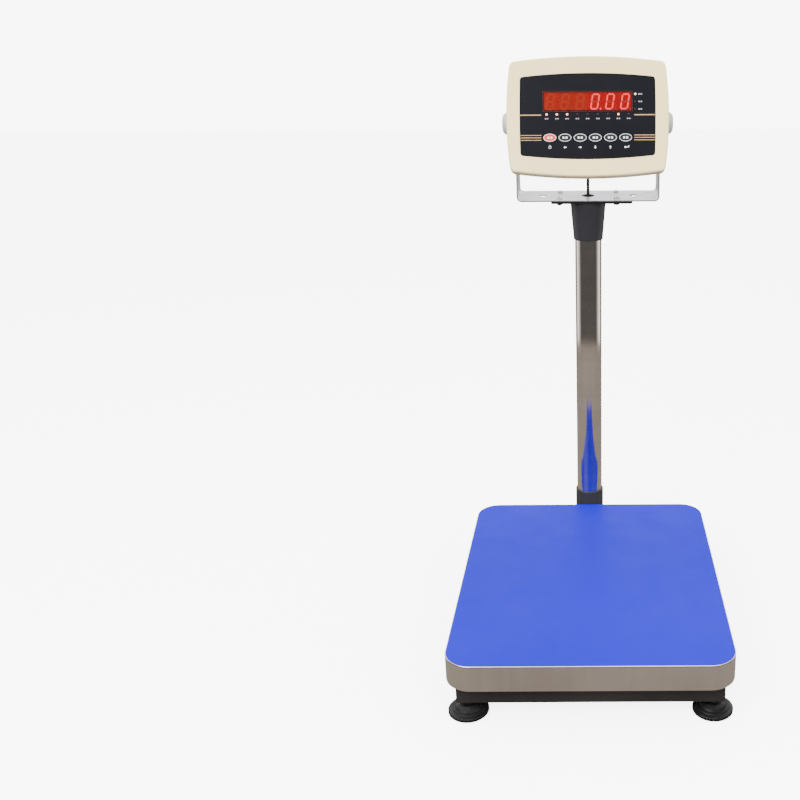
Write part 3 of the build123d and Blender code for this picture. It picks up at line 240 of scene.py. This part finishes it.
def red_filter():
    """Red acrylic window: tinted, glossy, partly see-through."""
    s = Surface("red_filter", specular=0.03)
    s.colour(patchy(s, (0.11, 0.0016, 0.0012), (0.07, 0.0012, 0.0009), 9))
    s.rough(s.noise(60), 0.10, 0.2)
    s.set("Alpha", 0.40)
    s.material.blend_method = "BLEND"
    return s.bump(s.noise(30, detail=1), 0.0002, 0.1)


def glowing(name, colour, strength, body):
    """Lit plastic: a coloured body with an uneven glow of its own. On the unlit segments and the digit backs the
    same glow is painted light.
    """
    s = Surface(name, specular=0.03)
    s.colour(patchy(s, body, tuple(0.7 * c for c in body), 40))
    s.rough(s.noise(90), 0.3, 0.5)
    s.set("Emission Color", (*colour, 1.0))
    s.set("Emission Strength", strength)
    return s.bump(s.noise(800), 0.00001, 0.3)


def ink(name, light, dark=None, metallic=0.0):
    """Screen-printed or foil ink, slightly uneven."""
    s = Surface(name, metallic=metallic, specular=0.08)
    s.colour(patchy(s, light, dark or tuple(0.8 * c for c in light), 60))
    s.rough(s.noise(150), 0.3, 0.55)
    return s.bump(s.noise(2000), 0.00001, 0.4)


def circuit_board():
    s = Surface("board_green", specular=0.5, coat=0.2)
    traces = s.mix(s.rescale(s.cells(140), (0.02, 0.06), (0.0, 1.0)), (0.10, 0.34, 0.12), (0.02, 0.16, 0.05))
    s.colour(specks(s, traces, (0.55, 0.50, 0.35), 180, (0.66, 0.7), 0.8))
    s.rough(s.noise(60), 0.25, 0.45)
    return s.bump(s.cells(140), 0.0001, 0.4)


MATERIALS = {
    "stainless": stainless("stainless", (1, 1, 0.02)),
    "blue_film": blue_film(),
    "black_steel": powder_coat(),
    "zinc_hardware": plated("zinc_hardware", (0.66, 0.67, 0.69), (0.42, 0.43, 0.45)),
    "dark_hardware": plated("dark_hardware", (0.05, 0.05, 0.054), (0.02, 0.02, 0.022), (0.35, 0.55)),
    "cell_alloy": cast_alloy(),
    "black_rubber": rubber("black_rubber", 0.03),
    "black_plastic": moulded(
        "black_plastic", (0.019, 0.0185, 0.021), (0.013, 0.0125, 0.0145), (0.36, 0.5), 800
    ),
    "level_body": moulded(
        "level_body", (0.60, 0.72, 0.20), (0.42, 0.55, 0.12), (0.15, 0.3), 300, 0.00002
    ),
    "cable_black": moulded(
        "cable_black", (0.020, 0.019, 0.021), (0.010, 0.010, 0.011), (0.35, 0.5), 500, 0.00005
    ),
    "galvanised": galvanised(),
    "cream_plastic": moulded(
        "cream_plastic", (0.80, 0.655, 0.31), (0.76, 0.62, 0.29), (0.45, 0.6), 1100, 0.00005, 0.04
    ),
    "overlay_black": printed_panel(),
    "red_filter": red_filter(),
    "digit_red": moulded(
        "digit_red", (0.30, 0.030, 0.022), (0.20, 0.022, 0.018), (0.4, 0.6), 500, 0.00003
    ),
    "led_clear": moulded(
        "led_clear", (0.030, 0.008, 0.007), (0.018, 0.006, 0.006), (0.2, 0.35), 500, 0.00001
    ),
    "board_green": circuit_board(),
    "battery_blue": moulded(
        "battery_blue", (0.05, 0.12, 0.35), (0.03, 0.08, 0.26), (0.2, 0.4), 200, 0.0001
    ),
    "brass_insert": plated("brass_insert", (0.80, 0.60, 0.28), (0.62, 0.44, 0.18), (0.2, 0.4)),
    "knob_grey": moulded("knob_grey", (0.39, 0.39, 0.40), (0.32, 0.32, 0.33), (0.3, 0.45), 700),
    "washer_black": rubber("washer_black", 0.025),
    "foot_rubber": rubber("foot_rubber", 0.016),
    "key_red": moulded(
        "key_red", (0.45, 0.018, 0.015), (0.38, 0.014, 0.012), (0.3, 0.42), 900, 0.00002
    ),
    "key_black": moulded(
        "key_black", (0.0060, 0.0066, 0.0105), (0.0040, 0.0044, 0.0070), (0.3, 0.45), 1200, 0.00002
    ),
}
# The tube's steel carries the same painted warm reflection.
TUBE_STEEL = stainless("tube_stainless", (0.02, 0.02, 1))
WHITE_INK = ink("white_ink", (0.72, 0.71, 0.72))
GREY_INK = ink("grey_ink", (0.30, 0.27, 0.28))
GOLD_FOIL = ink("gold_foil", (0.42, 0.27, 0.12), (0.34, 0.21, 0.09))
LIT_SEGMENT = glowing("lit_segment", (1.0, 0.055, 0.07), 4.5, (0.9, 0.05, 0.05))
# The next three glows are painted light on the unlit segments and on the backs of the digit blocks, which are no
# lamps.
UNLIT_SEGMENT_PAINTED_GLOW = glowing("unlit_segment_painted_glow", (0.62, 0.100, 0.045), 1.5, (0.1, 0.02, 0.01))
LIT_DIGIT_PAINTED_GLOW = glowing("lit_digit_back_painted_glow", (0.85, 0.024, 0.024), 1.3, (0.05, 0.001, 0.001))
UNLIT_DIGIT_PAINTED_GLOW = glowing("unlit_digit_back_painted_glow", (0.72, 0.055, 0.028), 1.25, (0.05, 0.002, 0.001))
LIT_LAMP = glowing("lit_lamp", (1.0, 0.32, 0.14), 3.2, (0.9, 0.3, 0.2))
LIT_SIDE_LAMP = glowing("lit_side_lamp", (1.0, 0.85, 0.40), 2.2, (0.9, 0.8, 0.5))
MASK_INK = ink("mask_ink", (0.035, 0.0030, 0.0028), (0.022, 0.0022, 0.0020))


def paint(obj, surface):
    obj.data.materials.clear()
    obj.data.materials.append(surface.material)


for subpart in frame["record"]["subparts"]:
    paint(frame["nodes"][subpart["node"]], MATERIALS[subpart["material_slot"]])
paint(frame["nodes"]["column_tube"], TUBE_STEEL)


# ---- mesh helpers -------------------------------------------------------------------------
def from_bmesh(name, mesh, surface, body, smooth=True):
    data = bpy.data.meshes.new(name)
    bmesh.ops.recalc_face_normals(mesh, faces=mesh.faces)
    mesh.to_mesh(data)
    mesh.free()
    for polygon in data.polygons:
        polygon.use_smooth = smooth
    obj = bpy.data.objects.new(name, data)
    bpy.context.scene.collection.objects.link(obj)
    paint(obj, surface)
    if body:
        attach(obj, body)
    return obj


def add_prism(mesh, outline, place, thickness):
    """Closed prism: outline points (x, z) set on the plane that place describes."""
    rings = [[mesh.verts.new(place(x, z, out)) for x, z in outline] for out in (0.0, thickness)]
    count = len(outline)
    mesh.faces.new(rings[1])
    mesh.faces.new(rings[0][::-1])
    for i in range(count):
        j = (i + 1) % count
        mesh.faces.new((rings[0][i], rings[0][j], rings[1][j], rings[1][i]))


def add_ring(mesh, outer, inner, place, thickness):
    """Closed band between two outlines with the same number of points."""
    count = len(outer)
    levels = [(line, out) for out in (0.0, thickness) for line in (outer, inner)]
    loops = [[mesh.verts.new(place(x, z, out)) for x, z in line] for line, out in levels]
    low_outer, low_inner, high_outer, high_inner = loops
    around = (high_outer, high_inner, low_inner, low_outer, high_outer)
    for i in range(count):
        j = (i + 1) % count
        for a, b in zip(around, around[1:]):
            mesh.faces.new((a[i], a[j], b[j], b[i]))


def ellipse(x, z, half_width, half_height, count=40):
    angles = [2 * pi * i / count for i in range(count)]
    return [(x + half_width * cos(a), z + half_height * sin(a)) for a in angles]


def rectangle(x, z, width, height):
    w, h = width / 2, height / 2
    return [(x - w, z - h), (x + w, z - h), (x + w, z + h), (x - w, z + h)]


# ---- the indicator's face -----------------------------------------------------------------
INWARD = Vector(JOINTS["key_1_press"]["axis"]).normalized()
UP = Vector((0, -INWARD.z, INWARD.y))
OVERLAY_LOW, OVERLAY_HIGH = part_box("keypad_overlay")
OVERLAY_HALF = 0.25 * MM
FACE_CENTRE = (OVERLAY_LOW + OVERLAY_HIGH) / 2 - INWARD * OVERLAY_HALF


def on_face(lift=0.0):
    """Places points given in mm across (x) and up (z) the face, raised by lift mm."""

    def place(x, z, out):
        return FACE_CENTRE + Vector((x, 0, 0)) * MM + UP * z * MM - INWARD * (out + lift) * MM

    return place


def node_centre(name):
    """Middle of a CAD node in face coordinates, mm."""
    low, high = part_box(name)
    middle = ((low + high) / 2 - FACE_CENTRE) / MM
    return middle.x, middle.dot(UP)


KEYS = [node_centre(f"key_{i}") for i in range(1, 7)]
WINDOW_X, WINDOW_Z = node_centre("display_window")
WINDOW_LOW, WINDOW_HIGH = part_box("display_window")
OVERLAY_WINDOW = ((WINDOW_HIGH.x - WINDOW_LOW.x) / MM, 31.6)
PANEL_HALF = (OVERLAY_HIGH.x - OVERLAY_LOW.x) / 2 / MM
INK = 0.06
KEY_RATIO = 12.8 / 20.6
KEY_HALF_DEPTH = 1.2
LINE_START = 73.0
LINE_END_GAP = 0.8
LINE_SPACING = 3.8
ICON_DROP = 14.8
ROW_COUNT = 9
ROW_Z = 3.1
ROW_PITCH = 16.1
ROW_LIT = (0, 1, 2, 7)
SIDE_COUNT = 3
SIDE_X = 74.8
SIDE_PITCH = 11.6
SIDE_LIT = 2
LENS_HEIGHT = 0.5
LENS_LIFT = 0.12


def row_x(i):
    return (i - 4) * ROW_PITCH


def side_z(i):
    return WINDOW_Z - 1 + (i - 1) * SIDE_PITCH


def gold_lines():
    """Foil lines either side: one level with the lamps, three level with the keys."""
    mesh = bmesh.new()
    for side in (-1, 1):
        x = side * (PANEL_HALF - LINE_END_GAP + LINE_START) / 2
        length = PANEL_HALF - LINE_END_GAP - LINE_START
        add_prism(mesh, rectangle(x, ROW_Z - 1.0, length, 1.5), on_face(), INK)
        for offset in (-LINE_SPACING, 0.0, LINE_SPACING):
            add_prism(mesh, rectangle(x, KEYS[0][1] + offset, length, 1.0), on_face(), INK)
    return from_bmesh("panel_gold_lines", mesh, GOLD_FOIL, "indicator", False)


def arrow(x, z, size, turn):
    """Arrow outline pointing along +x, turned about its middle."""
    shape = [(-1, -0.28), (0.1, -0.28), (0.1, -0.8), (1, 0), (0.1, 0.8), (0.1, 0.28), (-1, 0.28)]
    c, s = cos(turn), sin(turn)
    return [(x + size * (c * px - s * pz), z + size * (s * px + c * pz)) for px, pz in shape]


def key_icons():
    """Generic icons under the keys: power, left, right, down, up and enter."""
    mesh = bmesh.new()
    z = KEYS[0][1] - ICON_DROP
    x = KEYS[0][0]
    add_ring(mesh, ellipse(x, z, 2.2, 2.2, 24), ellipse(x, z, 1.6, 1.6, 24), on_face(), INK)
    add_prism(mesh, rectangle(x, z + 2.0, 0.7, 2.8), on_face(INK), INK)
    for index, turn in ((1, pi), (2, 0.0), (3, -pi / 2), (4, pi / 2), (5, pi)):
        add_prism(mesh, arrow(KEYS[index][0], z, 2.3, turn), on_face(), INK)
    x = KEYS[5][0]
    add_prism(mesh, rectangle(x + 3.6, z, 3.2, 0.9), on_face(INK), INK)
    add_prism(mesh, rectangle(x + 5.0, z + 1.1, 0.8, 2.8), on_face(2 * INK), INK)
    return from_bmesh("panel_key_icons", mesh, WHITE_INK, "indicator", False)


def lamp_marks():
    """Short bars beside and under the lamps, where such a panel carries its legends."""
    mesh = bmesh.new()
    for i in range(ROW_COUNT):
        for offset in (-1.6, 1.6):
            add_prism(mesh, rectangle(row_x(i) + offset, ROW_Z - 6.6, 2.2, 1.8), on_face(), INK)
    for i in range(SIDE_COUNT):
        for offset in (6.0, 9.4):
            add_prism(mesh, rectangle(SIDE_X + offset, side_z(i), 2.4, 2.0), on_face(), INK)
    return from_bmesh("panel_lamp_marks", mesh, GREY_INK, "indicator", False)


def key_prints():
    """White outline and a two-block mark on each key, moving with the key."""
    for index, (x, z) in enumerate(KEYS, start=1):
        low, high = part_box(f"key_{index}")
        half_width = (high.x - low.x) / 2 / MM
        middle = ((low + high) / 2 - FACE_CENTRE).dot(-INWARD) / MM
        front = middle + KEY_HALF_DEPTH + 0.02
        half_height = half_width * KEY_RATIO
        mesh = bmesh.new()
        outer = ellipse(x, z, half_width - 0.45, half_height - 0.45)
        inner = ellipse(x, z, half_width - 1.1, half_height - 1.1)
        add_ring(mesh, outer, inner, on_face(front), INK)
        for offset in (-2.4, 2.4):
            add_prism(mesh, rectangle(x + offset, z, 2.9, 3.2), on_face(front), INK)
        from_bmesh(f"key_{index}_print", mesh, WHITE_INK, f"button_{index}", False)


# ---- digits -------------------------------------------------------------------------------
DIGIT_HEIGHT = 25.0
DIGIT_WIDTH = 13.0
DIGIT_COUNT = 6
FIRST_LIT_DIGIT = 3
ZERO_SEGMENTS = 6  # a zero lights all but the middle bar
BLOCK_HALF_DEPTH = 3.5
BLOCK_HEIGHT = 29.5
BLOCK_GAP = 0.6
MASK_WIDTH = 2.5
SEGMENT = 2.5
SLANT = 0.16


def bar(start, end, width):
    """Pointed segment between two points."""
    start, end = Vector(start), Vector(end)
    along = (end - start).normalized()
    side = Vector((-along.y, along.x)) * width / 2
    inset = along * width / 2
    points = (start, start + inset + side, end - inset + side, end, end - inset - side, start + inset - side)
    return [(p.x, p.y) for p in points]


def segment_bars(x, z):
    """The seven bars of one slanted digit, in the usual order a to g."""
    w, h, gap = DIGIT_WIDTH / 2, DIGIT_HEIGHT / 2, 0.35
    left, right = -w + SEGMENT / 2, w - SEGMENT / 2
    top, bottom = h - SEGMENT / 2, -h + SEGMENT / 2

    def lean(point):
        return x + point[0] + SLANT * point[1], z + point[1]

    ends = [
        ((left + gap, top), (right - gap, top)),
        ((right, top - gap), (right, gap)),
        ((right, -gap), (right, bottom + gap)),
        ((left + gap, bottom), (right - gap, bottom)),
        ((left, -gap), (left, bottom + gap)),
        ((left, top - gap), (left, gap)),
        ((left + gap, 0), (right - gap, 0)),
    ]
    return [bar(lean(start), lean(end), SEGMENT) for start, end in ends]


def window_mask():
    """Printed border that hides the plastic step the window is seated on."""
    width, height = OVERLAY_WINDOW
    mesh = bmesh.new()
    outer = rectangle(WINDOW_X, WINDOW_Z, width, height)
    inner = rectangle(WINDOW_X, WINDOW_Z, width - 2 * MASK_WIDTH, height - 2 * MASK_WIDTH)
    add_ring(mesh, outer, inner, on_face(0.01), 0.03)
    from_bmesh("window_mask", mesh, MASK_INK, "indicator", False)


def digits():
    """Six digits reading 0.00 in the last three places; the others are unlit, with a painted glow on their
    segments and backs. The backs of the lit digits carry a painted glow of spilled light.
    """
    low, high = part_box("digit_modules")
    front = ((low + high) / 2 - FACE_CENTRE).dot(-INWARD) / MM + BLOCK_HALF_DEPTH
    pitch = ((high.x - low.x) / MM + BLOCK_GAP) / DIGIT_COUNT
    lit, dark, glow, unlit_back_painted_glow = (bmesh.new() for _ in range(4))
    for i in range(DIGIT_COUNT):
        x = (i - 2.5) * pitch
        back = rectangle(x, WINDOW_Z, pitch, BLOCK_HEIGHT)
        # Digit backs: a painted glow of spilled red light behind the lit digits, and painted light behind the
        # unlit ones.
        add_prism(glow if i >= FIRST_LIT_DIGIT else unlit_back_painted_glow, back, on_face(front + 0.01), 0.1)
        for number, outline in enumerate(segment_bars(x, WINDOW_Z)):
            # Unlit segments and decimal points go to the mesh with a painted glow.
            shines = i >= FIRST_LIT_DIGIT and number < ZERO_SEGMENTS
            add_prism(lit if shines else dark, outline, on_face(front + 0.15), 0.15)
        point = ellipse(x + 8.7, WINDOW_Z - DIGIT_HEIGHT / 2 + 1.2, 1.5, 1.5, 16)
        add_prism(lit if i == FIRST_LIT_DIGIT else dark, point, on_face(front + 0.15), 0.15)
    from_bmesh("lit_digit_back_painted_glow", glow, LIT_DIGIT_PAINTED_GLOW, "indicator", False)
    from_bmesh("unlit_digit_back_painted_glow", unlit_back_painted_glow, UNLIT_DIGIT_PAINTED_GLOW, "indicator", False)
    from_bmesh("digit_segments_lit", lit, LIT_SEGMENT, "indicator", False)
    from_bmesh("digit_segments_unlit_painted_glow", dark, UNLIT_SEGMENT_PAINTED_GLOW, "indicator", False)


def add_dome(mesh, place, x, z, radius, height, rings=5, count=20):
    """Shallow dome standing on the plane that place describes."""
    previous = [mesh.verts.new(place(px, pz, 0.0)) for px, pz in ellipse(x, z, radius, radius, count)]
    mesh.faces.new(previous[::-1])
    for ring in range(1, rings):
        angle = pi / 2 * ring / rings
        r = radius * cos(angle)
        lift = height * sin(angle)
        current = [mesh.verts.new(place(px, pz, lift)) for px, pz in ellipse(x, z, r, r, count)]
        for i in range(count):
            j = (i + 1) % count
            mesh.faces.new((previous[i], previous[j], current[j], current[i]))
        previous = current
    mesh.faces.new(previous)


def lamps():
    """Lens of each lamp; four of the row and one at the side are lit."""
    row_lit, side_lit, dark = bmesh.new(), bmesh.new(), bmesh.new()
    place = on_face(LENS_LIFT)
    for i in range(ROW_COUNT):
        add_dome(row_lit if i in ROW_LIT else dark, place, row_x(i), ROW_Z, 1.7, LENS_HEIGHT)
    for i in range(SIDE_COUNT):
        add_dome(side_lit if i == SIDE_LIT else dark, place, SIDE_X, side_z(i), 1.5, LENS_HEIGHT)
    from_bmesh("lamps_lit", row_lit, LIT_LAMP, "indicator")
    from_bmesh("lamp_side_lit", side_lit, LIT_SIDE_LAMP, "indicator")
    from_bmesh("lamps_dark", dark, MATERIALS["led_clear"], "indicator")


gold_lines()
key_icons()
lamp_marks()
key_prints()
window_mask()
digits()
lamps()


# ---- indicator cable ----------------------------------------------------------------------
def indicator_cable():
    """Black cable from the column through the bracket to the gland."""
    low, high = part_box("indicator_cable")
    gland_low, gland_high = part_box("cable_gland")
    radius = high.x
    column_y = high.y - radius
    exit_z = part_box("tilt_bracket")[0].z
    gland = (gland_low + gland_high) / 2
    tip = gland - UP * 12.0 * MM
    points = [
        Vector((0, column_y, low.z)),
        Vector((0, column_y, low.z + 30 * MM)),
        Vector((0, column_y, exit_z - 16 * MM)),
        Vector((0, column_y - 1 * MM, exit_z + 2 * MM)),
        tip - UP * 14 * MM,
        tip + UP * 4 * MM,
    ]
    curve = bpy.data.curves.new("indicator_cable_route", "CURVE")
    curve.dimensions = "3D"
    spline = curve.splines.new("NURBS")
    spline.points.add(len(points) - 1)
    for target, point in zip(spline.points, points):
        target.co = (*point, 1.0)
    spline.order_u = 3
    spline.use_endpoint_u = True
    spline.resolution_u = 12
    curve.bevel_depth = radius
    curve.bevel_resolution = 6
    curve.use_fill_caps = True
    route = bpy.data.objects.new("indicator_cable_route", curve)
    bpy.context.scene.collection.objects.link(route)
    bpy.context.view_layer.update()
    data = bpy.data.meshes.new_from_object(route)
    bpy.data.objects.remove(route)
    for polygon in data.polygons:
        polygon.use_smooth = True
    cable = bpy.data.objects.new("indicator_cable_soft", data)
    bpy.context.scene.collection.objects.link(cable)
    paint(cable, MATERIALS["cable_black"])
    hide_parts("indicator_cable")
    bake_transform(cable)


indicator_cable()


# ---- floor, light and camera --------------------------------------------------------------
def stage_mesh(name, points, faces, surface, place=(0, 0, 0), turn=0.0):
    data = bpy.data.meshes.new(name)
    data.from_pydata(points, [], faces)
    obj = bpy.data.objects.new(name, data)
    obj.location = place
    obj.rotation_euler = (0, 0, turn)
    bpy.context.scene.collection.objects.link(obj)
    paint(obj, surface)
    return obj


def sheet(x, y, z=0.0):
    """Four corners of a level sheet between the two ends given for each axis."""
    return [(x[0], y[0], z), (x[1], y[0], z), (x[1], y[1], z), (x[0], y[1], z)]


def matt(name, colour, glow=0.0):
    s = Surface(name, specular=0.0)
    s.set("Base Color", (*colour, 1.0)).set("Roughness", 0.9)
    return s.set("Emission Color", (1, 1, 1, 1)).set("Emission Strength", glow)


def seen_only_by(obj, camera=False, diffuse=False, glossy=False, shadow=False):
    obj.visible_camera = camera
    obj.visible_diffuse = diffuse
    obj.visible_glossy = glossy
    obj.visible_shadow = shadow
    obj.visible_transmission = False
    obj.visible_volume_scatter = False


def area_light(name, location, target, size, energy, colour=(1, 1, 1)):
    light = bpy.data.lights.new(name, "AREA")
    light.shape = "RECTANGLE"
    light.size, light.size_y = size
    light.energy = energy
    light.color = colour
    obj = bpy.data.objects.new(name, light)
    obj.location = location
    obj.rotation_euler = (Vector(target) - Vector(location)).to_track_quat("-Z", "Y").to_euler()
    bpy.context.scene.collection.objects.link(obj)
    return obj


STUDIO_HALF = 12
STUDIO_HEIGHT = 15
FLAG_RADIUS = 1.38
FLAG_HEIGHT = 1.1
FLAG_REACH = 120  # degrees to either side of straight ahead
FLAG_DARK_REACH = 66
FLAG_TONE = 0.14
STUDIO_WHITE = 2.6


def flag_glow(s):
    """Even dark tone straight ahead, fading into the studio's white towards both ends."""
    gradient = s.nodes.new("ShaderNodeTexGradient")
    gradient.gradient_type = "RADIAL"
    s.links.new(s.place, gradient.inputs["Vector"])
    ramp = s.nodes.new("ShaderNodeValToRGB")
    ramp.color_ramp.interpolation = "EASE"
    stops = ramp.color_ramp.elements
    tones = (STUDIO_WHITE, FLAG_TONE, FLAG_TONE, STUDIO_WHITE)
    while len(stops) < len(tones):
        stops.new(0.5)
    angles = (-FLAG_REACH, -FLAG_DARK_REACH, FLAG_DARK_REACH, FLAG_REACH)
    for stop, angle, tone in zip(stops, angles, tones):
        stop.position = 0.5 + angle / 360
        stop.color = (tone, tone, tone, 1.0)
    s.links.new(gradient.outputs["Fac"], ramp.inputs["Fac"])
    return ramp.outputs["Color"]


def flag():
    """Plain dark card curved round the front, seen only in reflections, so that the steel reads darker."""
    column_low, column_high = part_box("column_tube")
    place = (0, (column_low.y + column_high.y) / 2, 0.002)
    turns = [radians(angle) for angle in range(-FLAG_REACH, FLAG_REACH + 1, 4)]
    edge = [(FLAG_RADIUS * cos(turn), FLAG_RADIUS * sin(turn)) for turn in turns]
    points = [(x, y, z) for x, y in edge for z in (0.0, FLAG_HEIGHT)]
    faces = [(2 * i, 2 * i + 2, 2 * i + 3, 2 * i + 1) for i in range(len(turns) - 1)]
    surface = matt("flag", (0, 0, 0), 1.0)
    surface.links.new(flag_glow(surface), surface.shader.inputs["Emission Color"])
    card = stage_mesh("flag", points, faces, surface, place, -pi / 2)
    seen_only_by(card, glossy=True)


def studio():
    span = (-STUDIO_HALF, STUDIO_HALF)
    white = (0.9, 0.9, 0.9)
    floor = stage_mesh("floor", sheet(span, span), [range(4)], matt("floor", white, 5.0))
    # Four plain walls close the studio, so that every view has the same background.
    walls = [(x, y, z) for z in (0, STUDIO_HEIGHT) for x, y, _ in sheet(span, span)]
    sides = [(i, (i + 1) % 4, (i + 1) % 4 + 4, i + 4) for i in range(4)]
    backdrop = stage_mesh("backdrop", walls, sides, matt("backdrop", white, 7.0))
    for obj in (floor, backdrop):
        seen_only_by(obj, camera=True)
    # The camera sees the pale floor. Light and reflections see a plain grey one instead, which
    # keeps undersides dark.
    grey = matt("bounce_floor", (0.13, 0.121, 0.112))
    bounce = stage_mesh("bounce_floor", sheet(span, span, -0.002), [range(4)], grey)
    seen_only_by(bounce, diffuse=True, glossy=True, shadow=True)
    flag()
    world = bpy.data.worlds.new("studio")
    world.use_nodes = True
    background = world.node_tree.nodes["Background"]
    background.inputs["Color"].default_value = (1, 1, 1, 1)
    background.inputs["Strength"].default_value = STUDIO_WHITE
    bpy.context.scene.world = world
    area_light("key_light", (-1.5, -1.9, 2.2), (0, 0, 0.5), (1.8, 1.8), 130)
    area_light("fill_light", (1.7, -1.9, 1.6), (0, 0, 0.5), (1.6, 1.6), 60)
    area_light("top_light", (0, 0.2, 3.0), (0, 0, 0), (2.5, 2.5), 60)


CAMERA_SENSOR = 36.0
CAMERA_LENS = 43.2
CAMERA_SHIFT = -0.2364
CAMERA_DISTANCE = 1091.1 * MM  # in front of the pan's front edge
CAMERA_HEIGHT = 760.8 * MM  # above the platform
CAMERA_DOWN = 19.37
CAMERA_ROLL = -0.3


def camera():
    """Camera at the height and distance that give the object's perspective."""
    data = bpy.data.cameras.new("camera")
    data.sensor_width = CAMERA_SENSOR
    data.lens = CAMERA_LENS
    data.shift_x = CAMERA_SHIFT
    platform_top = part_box("platter_film")[1].z
    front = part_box("platter")[0].y
    location = Vector((0, front - CAMERA_DISTANCE, platform_top + CAMERA_HEIGHT))
    obj = bpy.data.objects.new("camera", data)
    pitch = Matrix.Rotation(radians(90 - CAMERA_DOWN), 4, "X")
    roll = Matrix.Rotation(radians(CAMERA_ROLL), 4, "Z")
    obj.matrix_world = Matrix.Translation(location) @ pitch @ roll
    bpy.context.scene.collection.objects.link(obj)
    bpy.context.scene.camera = obj


studio()
camera()
